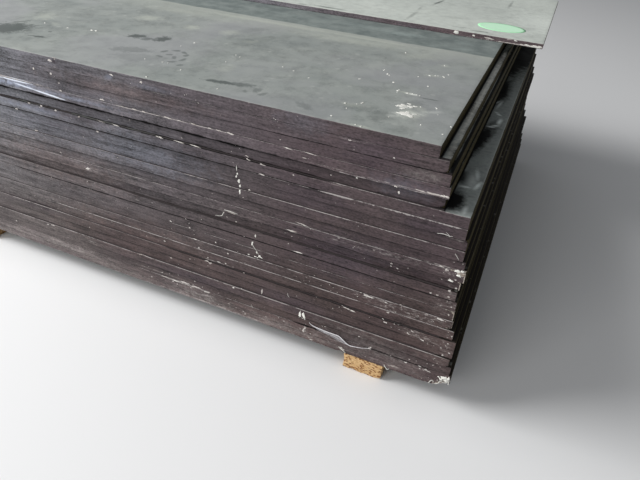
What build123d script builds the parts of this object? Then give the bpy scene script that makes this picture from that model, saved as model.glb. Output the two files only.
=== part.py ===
from build123d import *
import os

# A stack of dark film-faced plywood sheets that lies on three bearers. The full sheets
# lie on one another, each a little out of line with the next, and a thinner half sheet
# lies loose on top of them, towards the back. The long front edges face -Y, the stepped
# right-hand ends face +X and +Z is up. The origin is on the floor, under the middle of
# the stack's bounding box. All sizes are in millimetres.

# Driving dimensions of the full sheets
sheet_length = 2440
sheet_width = 1220
sheet_thickness = 21
sheet_plies = 11
worn_arris = 0.8

# How far each sheet's right-hand end and front edge lie behind those of a square stack,
# from the top sheet down. A front edge that stands proud has a negative value.
end_setbacks = [
    105, 88, 81, 78, 82, 39, 39, 34, 34, 29, 24, 28, 30, 26, 25, 23, 17, 9, 9, 11, 5, 2, 0,
]
front_setbacks = [
    0, 0, 1, 0, 4, 0, -1, 2, 0, 4, 3, 8, 3, 2, 2, 0, -1, -4, -3, -7, -4, -4, 1,
]

# The loose half sheet on top, cut along its length from a full one
half_sheet_thickness = 12
saw_cut = 4
half_sheet_end_setback = 15
half_sheet_front_setback = 662
half_sheet_arris = 0.6

# The bearers, strips as long as the sheets are wide
bearer_width = 82
bearer_height = 38
bearer_inset = 131

# The near right-hand corners that have been knocked, by sheet number from the top. Each
# tear starts at the top or the bottom face and takes a number of plies with it. It is
# longest, along the front and across the end, in the ply at that face, and the other
# pair of sizes is where it ends inside the sheet.
TEARS = {
    2: dict(face="bottom", plies=3, along=(9, 3), across=(6, 2), tooth=0.9),
    5: dict(face="bottom", plies=4, along=(14, 4), across=(8, 3), tooth=1.2),
    8: dict(face="top", plies=2, along=(11, 5), across=(5, 2), tooth=0.8),
    11: dict(face="top", plies=4, along=(20, 6), across=(9, 3), tooth=1.4),
    12: dict(face="top", plies=3, along=(12, 5), across=(8, 3), tooth=1.0),
    15: dict(face="top", plies=3, along=(13, 4), across=(7, 3), tooth=1.2),
    16: dict(face="bottom", plies=3, along=(15, 4), across=(7, 3), tooth=1.2),
    20: dict(face="bottom", plies=3, along=(10, 4), across=(6, 2), tooth=1.0),
    22: dict(face="bottom", plies=5, along=(14, 4), across=(10, 3), tooth=1.6),
    23: dict(face="bottom", plies=sheet_plies, along=(36, 8), across=(20, 5), tooth=3.0),
}

# How deep the torn line bites at each of its points, as a share of the tooth. Every ply
# starts one point further on, so no two plies break along the same line.
TOOTH_PATTERN = (0.2, 1.0, 0.1, 0.7, 0.0, 0.9, 0.3)

# The plies run along the sheet and across it by turns. Wood splits further along its
# grain, so a ply tears by this much more that way and by as much less the other way.
GRAIN_STRETCH = 1.25

# Sizes that follow from the driving dimensions
sheet_count = len(end_setbacks)
ply_thickness = sheet_thickness / sheet_plies
pile_top = bearer_height + sheet_count * sheet_thickness
half_sheet_width = (sheet_width - saw_cut) / 2
half_sheet_back = half_sheet_front_setback + half_sheet_width

left_end = -max(end_setbacks + [half_sheet_end_setback]) - sheet_length
right_end = -min(end_setbacks + [half_sheet_end_setback])
front = min(front_setbacks + [0])
back = max(max(front_setbacks) + sheet_width, half_sheet_back)
middle_x = (left_end + right_end) / 2
middle_y = (front + back) / 2


def laid_at(x, y, z):
    """The level plane through a point, given from the square stack's near right corner."""
    return Plane(origin=(x - middle_x, y - middle_y, z))


def lay_board(plane, length, width, thickness):
    """One board with its near right corner at the plane's origin."""
    with BuildSketch(plane) as outline:
        Rectangle(length, width, align=(Align.MAX, Align.MIN))
    extrude(outline.sketch, amount=thickness)


def torn_line(along, across, tooth, first_point):
    """The zigzag along which a ply has broken, from the front edge round to the end."""
    last = len(TOOTH_PATTERN) - 1
    slope = Vector(-across, along, 0).normalized()
    points = []
    for i in range(last + 1):
        bite = tooth * TOOTH_PATTERN[(i + first_point) % (last + 1)]
        on_chord = Vector(-along * (1 - i / last), across * i / last, 0)
        points.append(on_chord + slope * bite)
    return points


def tear_corner(right, near, underside, face, plies, along, across, tooth):
    """Breaks away one near right-hand corner, ply by ply."""
    outside = sheet_thickness
    for ply in range(plies):
        depth = ply / max(plies - 1, 1)
        grain = GRAIN_STRETCH if ply % 2 == 0 else 1 / GRAIN_STRETCH
        ply_along = (along[0] + (along[1] - along[0]) * depth) * grain
        ply_across = (across[0] + (across[1] - across[0]) * depth) / grain
        step = ply if face == "bottom" else sheet_plies - 1 - ply
        with BuildSketch(laid_at(right, near, underside + step * ply_thickness)) as lost:
            with BuildLine():
                Polyline(
                    (-ply_along - outside * along[0] / across[0], -outside),
                    *torn_line(ply_along, ply_across, tooth, ply),
                    (outside, ply_across + outside * across[0] / along[0]),
                    (outside, -outside),
                    close=True,
                )
            make_face()
        extrude(lost.sketch, amount=ply_thickness, mode=Mode.SUBTRACT)


os.makedirs("parts", exist_ok=True)

# The full sheets, one node each, numbered from the top down
for number in range(1, sheet_count + 1):
    sheet_end = -end_setbacks[number - 1]
    sheet_front = front_setbacks[number - 1]
    sheet_underside = pile_top - number * sheet_thickness
    with BuildPart() as sheet:
        lay_board(
            laid_at(sheet_end, sheet_front, sheet_underside),
            sheet_length, sheet_width, sheet_thickness,
        )
        chamfer(sheet.edges(), length=worn_arris)
        if number in TEARS:
            tear_corner(sheet_end, sheet_front, sheet_underside, **TEARS[number])
    sheet.part.label = f"sheet_{number:02d}"
    export_step(sheet.part, f"parts/{sheet.part.label}.step")

# The loose half sheet, flat on the top sheet and overhanging its right-hand end
with BuildPart() as half_sheet:
    lay_board(
        laid_at(-half_sheet_end_setback, half_sheet_front_setback, pile_top),
        sheet_length, half_sheet_width, half_sheet_thickness,
    )
    chamfer(half_sheet.edges(), length=half_sheet_arris)
half_sheet.part.label = "half_sheet"
export_step(half_sheet.part, "parts/half_sheet.step")

# The three bearers: the outer two as far in from the lowest sheet's two ends, and one
# midway between them
bearer_ends = {
    "bearer_right": -bearer_inset,
    "bearer_middle": -(sheet_length - bearer_width) / 2,
    "bearer_left": -(sheet_length - bearer_width) + bearer_inset,
}
for bearer_name, bearer_end in bearer_ends.items():
    with BuildPart() as bearer:
        lay_board(laid_at(bearer_end, 0, 0), bearer_width, sheet_width, bearer_height)
    bearer.part.label = bearer_name
    export_step(bearer.part, f"parts/{bearer_name}.step")
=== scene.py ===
# %% [markdown]
# # A stack of dark film-faced plywood
#
# Twenty-three full sheets of film-faced plywood lie on chipboard bearers, with a thinner
# half sheet loose on top. The packed CAD model already holds every board at its real
# size and place. This lesson gives each board the surface of the real one: dusty film,
# sealing paint on the sawn edges, worn arrises, torn corners and dirt.

import math
import random

import bmesh
import bpy
from mathutils import Matrix, Vector, noise
from mathutils.bvhtree import BVHTree


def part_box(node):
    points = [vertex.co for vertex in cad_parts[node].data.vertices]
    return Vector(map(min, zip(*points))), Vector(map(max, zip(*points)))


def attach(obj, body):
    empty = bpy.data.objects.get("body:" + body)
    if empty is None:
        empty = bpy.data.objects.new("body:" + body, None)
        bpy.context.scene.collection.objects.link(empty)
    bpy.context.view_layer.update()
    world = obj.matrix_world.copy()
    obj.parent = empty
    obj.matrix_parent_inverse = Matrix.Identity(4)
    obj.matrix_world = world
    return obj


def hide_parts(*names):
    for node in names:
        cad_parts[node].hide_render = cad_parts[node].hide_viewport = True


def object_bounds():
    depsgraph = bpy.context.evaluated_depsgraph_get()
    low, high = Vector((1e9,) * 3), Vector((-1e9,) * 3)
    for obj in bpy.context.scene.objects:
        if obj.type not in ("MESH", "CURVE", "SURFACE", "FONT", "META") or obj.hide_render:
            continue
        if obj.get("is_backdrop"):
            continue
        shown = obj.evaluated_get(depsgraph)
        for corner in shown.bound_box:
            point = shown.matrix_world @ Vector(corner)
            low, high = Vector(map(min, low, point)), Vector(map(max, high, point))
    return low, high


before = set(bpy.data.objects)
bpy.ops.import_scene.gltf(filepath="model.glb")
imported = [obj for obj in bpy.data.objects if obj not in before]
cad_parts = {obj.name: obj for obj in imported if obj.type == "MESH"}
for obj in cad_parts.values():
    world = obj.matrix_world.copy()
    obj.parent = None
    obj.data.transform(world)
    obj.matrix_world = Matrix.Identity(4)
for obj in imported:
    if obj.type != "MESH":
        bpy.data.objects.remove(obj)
cad_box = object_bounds()
sheet_names = sorted(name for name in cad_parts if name.startswith("sheet_"))
print(len(sheet_names), "full sheets; the CAD box is", cad_box)

# %% [markdown]
# ## One corner to measure from
#
# Everything on a stack is easiest to give as a maker would measure it: so many
# millimetres left of the near right corner, so many back from the front, so many up from
# the underside of the lowest sheet. The CAD boxes say where that corner is, so nothing
# here repeats the origin of the model.

# %% The stack's own ruler
MM = 0.001
lowest_low, lowest_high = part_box(sheet_names[-1])
top_low, top_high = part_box(sheet_names[0])
half_low, half_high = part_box("half_sheet")
corner = Vector((lowest_high.x, top_low.y, lowest_low.z))


def on_stack(left, back, up):
    """A point given in millimetres from the near right corner of the lowest sheet."""
    return corner + Vector((-left, back, up)) * MM


print("the near right corner is at", tuple(round(c, 4) for c in corner))

# %% [markdown]
# ## The camera
#
# The photograph was taken standing at the near right corner and looking down and to the
# left. Three sets of parallel edges, along the sheets, across them and up the pile, meet
# in three vanishing points. They give the lens and the way the camera was turned, and
# the thickness of the sheets gives its distance. A fixed matrix holds the view exactly,
# where a Track To constraint would lose the slight roll of a hand-held camera.

# %% Camera
lens_mm = 30.465
eye = on_stack(0, -743.9, 811.0)
camera_right = Vector((0.91656, 0.39504, 0.06215))
camera_down = Vector((0.27346, -0.50575, -0.81819))
camera_data = bpy.data.cameras.new("camera")
camera_data.lens = lens_mm
camera_data.sensor_width = 36
camera_data.clip_start = 0.05
camera = bpy.data.objects.new("camera", camera_data)
turn = Matrix((camera_right, -camera_down, camera_right.cross(-camera_down))).transposed()
camera.matrix_world = Matrix.Translation(eye) @ turn.to_4x4()
bpy.context.scene.collection.objects.link(camera)
bpy.context.scene.camera = camera
print("the camera stands", round(eye.z, 3), "m above the floor")

# %% [markdown]
# ## Floor and light
#
# The stack stands on a plain pale floor in soft light from the left: its top is bright,
# its long front is in even light and its right-hand end is in shade. One large soft lamp
# high on the left does this. A second, weaker one in front lifts the long side, and a
# dim pale world keeps the shaded end readable.

# %% Floor, lamps and world
scene = bpy.context.scene
scene.view_settings.view_transform = "Standard"


def new_object(name, mesh):
    """Puts a mesh into the scene as an object."""
    made = bpy.data.objects.new(name, mesh)
    scene.collection.objects.link(made)
    return made


floor_half = 14.0
floor_mesh = bpy.data.meshes.new("floor")
floor_mesh.from_pydata(
    [(x * floor_half, y * floor_half, 0) for x, y in ((-1, -1), (1, -1), (1, 1), (-1, 1))],
    [], [(0, 1, 2, 3)],
)
floor = new_object("floor", floor_mesh)
floor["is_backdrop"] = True


def soft_lamp(name, place, target, size, power):
    """A square area lamp aimed at a point."""
    data = bpy.data.lights.new(name, "AREA")
    data.shape = "SQUARE"
    data.size = size
    data.energy = power
    lamp = bpy.data.objects.new(name, data)
    lamp.location = place
    lamp.rotation_euler = (Vector(target) - Vector(place)).to_track_quat("-Z", "Y").to_euler()
    scene.collection.objects.link(lamp)


soft_lamp("left_lamp", (-3.4, -1.6, 3.6), (0.2, 0, 0.3), 3.0, 360)
soft_lamp("front_lamp", (-0.6, -5.0, 1.9), (0.2, 0, 0.2), 3.0, 116)
world = bpy.data.worlds.new("studio")
world.use_nodes = True
scene.world = world
world_fill = world.node_tree.nodes["Background"]
world_fill.inputs["Color"].default_value = (0.93, 0.96, 1.0, 1)
world_fill.inputs["Strength"].default_value = 0.21

# %% [markdown]
# ## A workbench for node trees
#
# Every finish below is a tree of shader nodes. Writing `nodes.new` and `links.new` for
# each of them hides the idea behind the typing, so a small bench object does it: each
# method adds one node, takes numbers or sockets for its inputs, and gives back the
# socket that the next step needs.


# %% The node bench
class Bench:
    """Adds nodes to one tree and wires them as they are added."""

    def __init__(self, tree):
        self.tree = tree

    def put(self, socket, value):
        """Wires a socket to an input, or sets the input to a value."""
        if isinstance(value, bpy.types.NodeSocket):
            self.tree.links.new(value, socket)
        else:
            socket.default_value = value

    def add(self, kind, inputs, **settings):
        made = self.tree.nodes.new("ShaderNode" + kind)
        for key, value in settings.items():
            setattr(made, key, value)
        for key, value in inputs.items():
            self.put(made.inputs[key], value)
        return made

    def math(self, operation, a, b=0.0, c=0.0, clamp=False):
        inputs = {0: a, 1: b, 2: c}
        return self.add("Math", inputs, operation=operation, use_clamp=clamp).outputs[0]

    def plus(self, a, b, clamp=False):
        return self.math("ADD", a, b, clamp=clamp)

    def times(self, a, b, clamp=False):
        return self.math("MULTIPLY", a, b, clamp=clamp)

    def stretched(self, vector, shares):
        """A vector with each of its three parts multiplied."""
        return self.add("VectorMath", {0: vector, 1: shares}, operation="MULTIPLY").outputs["Vector"]

    def parts(self, vector):
        return self.add("SeparateXYZ", {0: vector}).outputs

    def join(self, x, y, z):
        return self.add("CombineXYZ", {0: x, 1: y, 2: z}).outputs[0]

    def between(self, value, low, high, to_low=0.0, to_high=1.0):
        """Maps low..high to 0..1, or to other ends, and holds it there."""
        ends = {"From Min": low, "From Max": high, "To Min": to_low, "To Max": to_high}
        return self.add("MapRange", {"Value": value, **ends}).outputs["Result"]

    def mix(self, share, a, b):
        """Blends two colours."""
        made = self.add("Mix", {}, data_type="RGBA")
        for key, value in (("Factor_Float", share), ("A_Color", a), ("B_Color", b)):
            self.put(next(s for s in made.inputs if s.identifier == key), value)
        return next(s for s in made.outputs if s.identifier == "Result_Color")

    def noise(self, where, scale, detail, roughness, distortion=0.0):
        settings = {"Detail": detail, "Roughness": roughness, "Distortion": distortion}
        return self.add("TexNoise", {"Vector": where, "Scale": scale, **settings}).outputs[0]

    def swing(self, where, scale, detail, roughness, amount, distortion=0.0):
        """Noise that swings to both sides of zero."""
        plain = self.noise(where, scale, detail, roughness, distortion)
        return self.times(self.math("SUBTRACT", plain, 0.5), amount)

    def cells(self, where):
        """Scattered cells, one to each unit of the place."""
        return self.add("TexVoronoi", {"Vector": where, "Scale": 1.0, "Randomness": 1.0}).outputs

    def bump(self, height, strength, distance):
        inputs = {"Height": height, "Strength": strength, "Distance": distance}
        return self.add("Bump", inputs).outputs["Normal"]

    def attribute(self, name):
        return self.add("Attribute", {}, attribute_name=name).outputs["Fac"]

    def place(self):
        """The point's position in the frame: no object here is moved from the origin."""
        return self.add("TexCoord", {}).outputs["Object"]

    def effect(self, name, **values):
        """Places a shared effect and returns its output."""
        return self.add("Group", values, node_tree=bpy.data.node_groups[name]).outputs[0]

    def dress(self, shader, colour, roughness, relief):
        """Gives a Principled shader its colour, roughness and relief."""
        for socket, value in (("Base Color", colour), ("Roughness", roughness), ("Normal", relief)):
            self.put(shader.inputs[socket], value)


def new_effect(name, inputs, output):
    """An empty shared effect: returns its bench, its given inputs and its output."""
    group = bpy.data.node_groups.new(name, "ShaderNodeTree")
    for socket in inputs:
        kind = "NodeSocketVector" if socket in VECTOR_INPUTS else "NodeSocketFloat"
        group.interface.new_socket(name=socket, in_out="INPUT", socket_type=kind)
    group.interface.new_socket(name=output, in_out="OUTPUT", socket_type="NodeSocketFloat")
    given = group.nodes.new("NodeGroupInput")
    result = group.nodes.new("NodeGroupOutput")
    return Bench(group), given.outputs, result.inputs[output]


def new_material(name):
    """A material with a Principled shader: returns it, its bench and that shader."""
    made = bpy.data.materials.new(name)
    made.use_nodes = True
    return made, Bench(made.node_tree), made.node_tree.nodes["Principled BSDF"]


VECTOR_INPUTS = ("Where", "Centre", "Turn", "Reach")
print("the bench has", len([name for name in vars(Bench) if name[0] != "_"]), "tools")

# %% [markdown]
# ## Shared effects
#
# Five effects come back in the finishes of this stack, so each is built once as
# a node group. *Patchy tone* is the slow wandering of dust and old paint. *Streaks*
# are long thin marks that follow the edge of a board, as saw and brush leave them.
# *Flecks* are separate small marks, round for grit or drawn out for scratches. A
# *smudge* is one patch at a chosen place, where a boot or a hand has wiped the dust. An
# *edge line* follows an arris with a ragged border, pale for worn paint, dark for a gap.


# %% Patchy tone
bench, given, result = new_effect("patchy_tone", ("Where", "Size", "Contrast"), "Tone")
scale = bench.math("DIVIDE", 1.0, given["Size"])
broad = bench.noise(given["Where"], scale, 3.0, 0.55, 0.4)
fine = bench.noise(given["Where"], bench.times(scale, 7.0), 4.0, 0.6)
both = bench.math("MULTIPLY_ADD", fine, 0.35, bench.times(broad, 0.65))
bench.put(result, bench.times(bench.math("SUBTRACT", both, 0.5), given["Contrast"]))


def patchy(bench, where, size, contrast):
    """Patchy tone with patches of a size in metres, to both sides of zero."""
    return bench.effect("patchy_tone", Where=where, Size=size, Contrast=contrast)


# %% Streaks
bench, given, result = new_effect("streaks", ("Where", "Length", "Width", "Contrast"), "Tone")
x, y, z = bench.parts(given["Where"])
drawn = bench.join(
    bench.math("DIVIDE", x, given["Length"]),
    bench.math("DIVIDE", y, given["Length"]),
    bench.math("DIVIDE", z, given["Width"]),
)
bench.put(result, bench.swing(drawn, 1.0, 4.0, 0.6, given["Contrast"], 0.2))


def streaks(bench, where, length, width, contrast):
    """Streaks of a length and width in metres, to both sides of zero."""
    return bench.effect("streaks", Where=where, Length=length, Width=width, Contrast=contrast)


# %% Flecks
bench, given, result = new_effect(
    "flecks", ("Where", "Spacing", "Size", "Share", "Stretch"), "Mask")
x, y, z = bench.parts(given["Where"])
drawn_spacing = bench.times(given["Spacing"], given["Stretch"])
cells = bench.cells(bench.join(
    bench.math("DIVIDE", x, drawn_spacing),
    bench.math("DIVIDE", y, drawn_spacing),
    bench.math("DIVIDE", z, given["Spacing"]),
))
reach = bench.math("DIVIDE", given["Size"], given["Spacing"])
chance = bench.parts(cells["Color"])
inside = bench.between(cells["Distance"], reach, bench.times(reach, 0.5))
picked = bench.math("LESS_THAN", chance[0], given["Share"])
strength = bench.between(chance[1], 0.0, 1.0, 0.35, 1.0)
bench.put(result, bench.times(bench.times(inside, picked), strength))


def flecks(bench, where, spacing, size, share, stretch=1.0):
    """Where flecks lie: their spacing and size in metres, and the share of them kept."""
    values = {"Spacing": spacing, "Size": size, "Share": share, "Stretch": stretch}
    return bench.effect("flecks", Where=where, **values)


# %% Smudge
# A mapping node shifts, turns and shrinks the space until the oval is a circle of radius 1
bench, given, result = new_effect(
    "smudge", ("Where", "Wobble", "Centre", "Turn", "Reach", "Soft"), "Mask")
oval = bench.add(
    "Mapping",
    {"Vector": given["Where"], "Location": given["Centre"], "Rotation": given["Turn"],
     "Scale": given["Reach"]},
    vector_type="TEXTURE",
).outputs[0]
distance = bench.add("VectorMath", {0: oval}, operation="LENGTH").outputs["Value"]
distance = bench.plus(distance, given["Wobble"])
bench.put(result, bench.between(distance, 1.0, bench.math("SUBTRACT", 1.0, given["Soft"])))
smudge_depth = 10.0


def smudged(bench, where, marks, centre_of, wobble, soft):
    """How much each point is covered by the strongest of many smudges."""
    cover = 0.0
    for left, other, half_length, half_width, turn, strength in marks:
        mask = bench.effect(
            "smudge", Where=where, Wobble=wobble, Centre=centre_of(left, other),
            Turn=(0.0, 0.0, math.radians(turn)),
            Reach=(half_length * MM, half_width * MM, smudge_depth), Soft=soft,
        )
        cover = bench.math("MAXIMUM", bench.times(mask, strength), cover)
    return cover


# %% Edge line
bench, given, result = new_effect("edge_line", ("Depth", "Strength", "Ragged", "Width"), "Mask")
swing = bench.math("MULTIPLY_ADD", given["Ragged"], 1.5, 0.25)
reach = bench.times(bench.times(given["Width"], given["Strength"]), swing)
inside = bench.between(given["Depth"], reach, bench.times(reach, 0.5))
bench.put(result, bench.times(inside, bench.between(given["Strength"], 0.0, 0.3)))
print("effects:", [g.name for g in bpy.data.node_groups])

# %% [markdown]
# ## Sealed edges
#
# The sawn edges of film-faced plywood are sealed with a thick purple-brown paint. On
# this stack it is dull with dust. Towards the left it is painted a little bluer and paler,
# a painted sheen where the daylight rakes along it, and on the shaded right-hand ends it is
# painted nearly black and duller, a painted shade. The back and the left-hand ends have the
# plain paint without any marks.
# Each scuff and stain that the eye can pick out on the front is listed one by one: a list
# of ovals is easier to read and to change than a painted image.

# %% Marks on the front
PAINT_HIGH_RIGHT = (0.050, 0.037, 0.039, 1)
PAINT_LOW_RIGHT = (0.050, 0.035, 0.033, 1)
# Towards the left the paint is painted bluer and paler: a painted sheen of the raking daylight
SHEENED_PAINT_HIGH_LEFT = (0.101, 0.104, 0.116, 1)
SHEENED_PAINT_LOW_LEFT = (0.070, 0.060, 0.058, 1)
# The right-hand ends have the front's paint, painted darker and duller: painted shade
SHADED_PAINT_END = (0.040, 0.033, 0.016, 1)
PAINT_BACK = (0.058, 0.047, 0.046, 1)
# Pale of worn paint on an arris, with the painted highlight of an arris that catches the light
ARRIS_WORN_AND_LIT = (0.38, 0.35, 0.34, 1)
# The arris of an end is painted dark as well: painted shade
SHADED_END_ARRIS = (0.050, 0.043, 0.026, 1)
GAP_SHADE_BLACK = (0.004, 0.003, 0.003, 1)
WOOD_PALE = (0.66, 0.60, 0.54, 1)
WOOD_DARK = (0.30, 0.23, 0.18, 1)
GRIT_PALE = (0.46, 0.42, 0.40, 1)
DUST_AND_SHEEN_BLUE = (0.30, 0.33, 0.42, 1)
GLOSS_HIGHLIGHT_BLUE = (0.62, 0.66, 0.74, 1)
PATCH_BLUE = (0.092, 0.098, 0.118, 1)
PATCH_BROWN = (0.074, 0.048, 0.042, 1)
PATCH_GREY = (0.135, 0.122, 0.116, 1)
PATCH_PURPLE = (0.048, 0.037, 0.048, 1)
CLEAN_AND_SHADED_PAINT = (0.024, 0.016, 0.021, 1)

# Each mark: left of the corner and up from the underside of the pile in mm, half length,
# half height, turn in degrees and strength
SCUFFS = (
    (100, 157, 110, 15, 0, 0.85), (165, 164, 50, 6, 0, 0.8), (70, 116, 60, 15, -4, 0.7),
    (40, 205, 30, 44, 0, 0.5), (44, 268, 34, 12, 0, 0.8), (45, 335, 30, 6, 0, 0.5),
    (110, 40, 60, 12, 0, 0.35), (110, 11, 20, 5, -10, 0.8), (260, 30, 70, 20, 0, 0.35),
    (200, 70, 120, 10, 0, 0.25), (160, 265, 140, 7, 0, 0.4), (30, 100, 24, 60, 0, 0.3),
    (480, 255, 120, 7, 0, 0.3), (560, 160, 220, 10, 0, 0.2), (800, 258, 30, 9, -6, 0.7),
    (777, 217, 26, 6, -8, 0.8), (832, 72, 28, 7, -20, 0.6), (1000, 300, 120, 30, 0, 0.25),
)
# Pale blue patches: dust with a painted sheen of the raking light
DUST_AND_SHEEN_PATCHES = (
    (980, 412, 110, 8, 0, 1.1), (830, 411, 150, 5, 0, 0.5), (940, 368, 120, 7, 0, 0.35),
    (150, 400, 70, 26, 0, 0.13), (712, 470, 14, 7, 20, 0.3), (620, 468, 60, 7, 0, 0.2),
)
GREY_PATCHES = (
    (560, 19, 120, 24, 0, 0.9), (230, 12, 240, 10, 0, 0.5), (360, 16, 150, 20, 0, 0.6),
    (760, 14, 140, 16, 0, 0.5), (70, 12, 70, 10, 0, 0.35), (940, 26, 210, 22, 0, 0.75),
    (950, 70, 160, 30, 0, 0.25), (125, 430, 46, 13, 0, 0.7), (150, 42, 140, 50, 0, 0.5),
    (300, 24, 5, 16, 10, 0.9),
)
PURPLE_PATCHES = (
    (240, 235, 130, 70, 0, 0.5), (300, 335, 90, 50, 0, 0.3), (210, 450, 90, 26, 0, 0.3),
    (330, 90, 120, 30, 0, 0.4), (100, 345, 70, 20, 0, 0.3), (560, 70, 160, 20, 0, 0.4),
)
# Blue patches towards the left: blue dust, partly a painted sheen of the raking daylight
BLUE_PATCHES = (
    (660, 335, 180, 52, 0, 0.6), (900, 340, 160, 40, 0, 0.35), (330, 470, 60, 30, 0, 0.25),
)
BROWN_PATCHES = (
    (690, 448, 240, 22, 0, 0.45), (900, 250, 260, 60, 0, 0.45), (700, 120, 300, 70, 0, 0.5),
    (120, 130, 170, 90, 0, 0.3),
)
# Dark patches of clean paint; the long thin bands along the joints are painted shade under the
# overhanging arrises
DARK_PATCHES = (
    (230, 425, 110, 16, 0, 0.45), (760, 398, 320, 7, 0, 0.35), (250, 330, 50, 34, 0, 0.25),
    (320, 245, 110, 46, 0, 0.25), (100, 240, 110, 8, 0, 0.35), (560, 364, 130, 8, 0, 0.3),
    (620, 290, 200, 6, 0, 0.35), (985, 121, 120, 16, 0, 0.8), (697, 243, 70, 8, 8, 0.6),
    (900, 188, 160, 10, 0, 0.4), (700, 160, 120, 8, 0, 0.35), (220, 44, 80, 12, 0, 0.25),
    (838, 477, 6, 4, 0, 1.6), (690, 62, 150, 7, 0, 0.5), (540, 275, 120, 5, 0, 0.5),
    (330, 265, 40, 6, 0, 0.6), (260, 228, 60, 4, 0, 0.6), (860, 371, 190, 6, 0, 0.6),
    (880, 344, 190, 5, -0.4, 0.5),
)
PALE_LINES = (
    (105, 403, 32, 2.0, 0, 1.0), (170, 403, 60, 1.5, 0, 0.7), (270, 404, 60, 1.2, 0, 0.4),
    (70, 274, 36, 2.4, 0, 0.9), (280, 375, 50, 1.2, 0, 0.5), (350, 399, 60, 1.2, 0, 0.4),
    (560, 420, 140, 1.4, 0, 0.4), (340, 254, 30, 1.0, -4, 0.5), (325, 213, 24, 1.0, 4, 0.4),
    (640, 50, 110, 1.6, 0, 0.5), (590, 41, 72, 3.4, 0, 1.4), (540, 27, 30, 1.6, 10, 0.8),
    (560, 4, 160, 2.4, 0, 0.7), (440, 4, 60, 2.4, 0, 0.8), (505, 128, 40, 2.0, 0, 0.8),
    (246, 459, 30, 1.4, 0, 0.4),
)
# Painted highlights: bright bluish gloss bars along arrises near the far left
PAINTED_GLOSS_BARS = (
    (953, 420, 46, 3.6, 0, 1.0), (1060, 419.5, 95, 5.2, 0, 1.0), (872, 406.6, 50, 2.2, -4.1, 1.0),
    (930, 411, 34, 1.8, -4.1, 0.9),
)


def front_centre(left, up):
    """The centre of a mark on the front, seen square on."""
    place = on_stack(left, 0, up)
    return place.x, place.z, 0.0


def add_front_marks(bench, where, colour, marks, tint, texture, ragged=1.6, soft=0.8):
    """Lays smudges on the upright front, each broken up by a texture from 0 to 1."""
    x, y, z = bench.parts(where)
    wobble = bench.swing(where, 70.0, 4.0, 0.65, ragged)
    cover = smudged(bench, bench.join(x, z, 0.0), marks, front_centre, wobble, soft)
    return bench.mix(bench.times(cover, texture, clamp=True), colour, tint)


print("scuffs:", len(SCUFFS), "dark patches:", len(DARK_PATCHES), "pale lines:", len(PALE_LINES))

# %% [markdown]
# ## One recipe for every sealed edge
#
# The boards' meshes carry a few numbers at each vertex: *up* and *down*, the distances
# to the two arrises, *light* and *rub* for paint worn off the upper and the lower one,
# with a painted highlight on the upper one, *gap low* and *gap high* for the painted
# shade in a joint, *bare* where the paint is torn off and the veneers show, and *tone* for
# how dusty that board is, darkened by painted shade under the sheet above. The four edge
# materials only have to read them, so one recipe serves all four and every board.


# %% The sealed edge recipe
def start_edge(name):
    """The beginning of an edge material: its bench, shader, place and three tones."""
    made, bench, shader = new_material(name)
    where = bench.place()
    patches = patchy(bench, where, 0.12, 1.7)
    brushed = streaks(bench, where, 0.06, 0.0026, 1.6)
    speckle = streaks(bench, where, 0.005, 0.0024, 2.2)
    return made, bench, shader, where, (patches, brushed, speckle)


def toned(bench, colour, tones):
    """A colour made darker and lighter by the tones and by the board's tone, its dust and its painted
    shade under the sheet above.
    """
    total = 1.0
    for tone in tones:
        total = bench.plus(tone, total)
    total = bench.times(bench.math("MAXIMUM", total, 0.25), bench.attribute("tone"))
    scaled = bench.add("VectorMath", {0: colour, "Scale": total}, operation="SCALE")
    return scaled.outputs["Vector"]


def finish_edge(bench, shader, where, colour, arris, tones):
    """Adds worn arrises with a painted highlight, joints with painted shade, bare wood, sheen and
    relief, which all edges share.
    """
    dashes = bench.noise(bench.stretched(where, (1.0, 1.0, 0.4)), 34.0, 7.0, 0.82)
    ragged = bench.between(dashes, 0.40, 0.62)
    uneven = bench.between(bench.noise(where, 40.0, 3.0, 0.6), 0.35, 0.60, 0.3, 1.0)
    light, rubbed, gap_below, gap_above = [
        bench.effect(
            "edge_line", Depth=bench.attribute(depth), Strength=bench.attribute(strength),
            Ragged=border, Width=width)
        for depth, strength, border, width in (
            ("down", "light", ragged, 2.2), ("up", "rub", ragged, 2.6),
            ("up", "gap_low", uneven, 1.9), ("down", "gap_high", uneven, 1.9),
        )
    ]
    # Worn paint and painted highlight along the arrises
    worn_and_lit = bench.times(
        bench.math("MAXIMUM", light, rubbed), bench.between(ragged, 0.0, 0.5, 0.12, 0.9))
    # The gaps are painted black: painted shade in the joints between the sheets
    gap = bench.math("MAXIMUM", gap_below, gap_above)
    colour = bench.mix(gap, bench.mix(worn_and_lit, colour, arris), GAP_SHADE_BLACK)
    veneer = streaks(bench, where, 0.012, 0.0012, 3.0)
    wood = bench.mix(bench.plus(veneer, 0.3, clamp=True), WOOD_PALE, WOOD_DARK)
    bare = bench.plus(bench.swing(where, 260.0, 3.0, 0.7, 1.6), bench.attribute("bare"))
    bare = bench.between(bare, 0.4, 0.7)
    dull = bench.plus(bench.times(tones[0], 0.3), 0.60)
    dull = bench.math("MAXIMUM", dull, bench.times(bare, 0.85))
    relief = bench.plus(streaks(bench, where, 0.04, 0.0018, 1.0), bench.times(tones[2], 0.45))
    bench.dress(
        shader, bench.mix(bare, colour, wood), bench.math("MAXIMUM", dull, gap),
        bench.bump(relief, 0.6, 0.0009),
    )


def make_plain_paint(name, paint, arris):
    """The paint of an edge without marks: returns it and its shader."""
    made, bench, shader, where, tones = start_edge(name)
    finish_edge(bench, shader, where, toned(bench, paint[:3], tones), arris, tones)
    return made, shader


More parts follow.
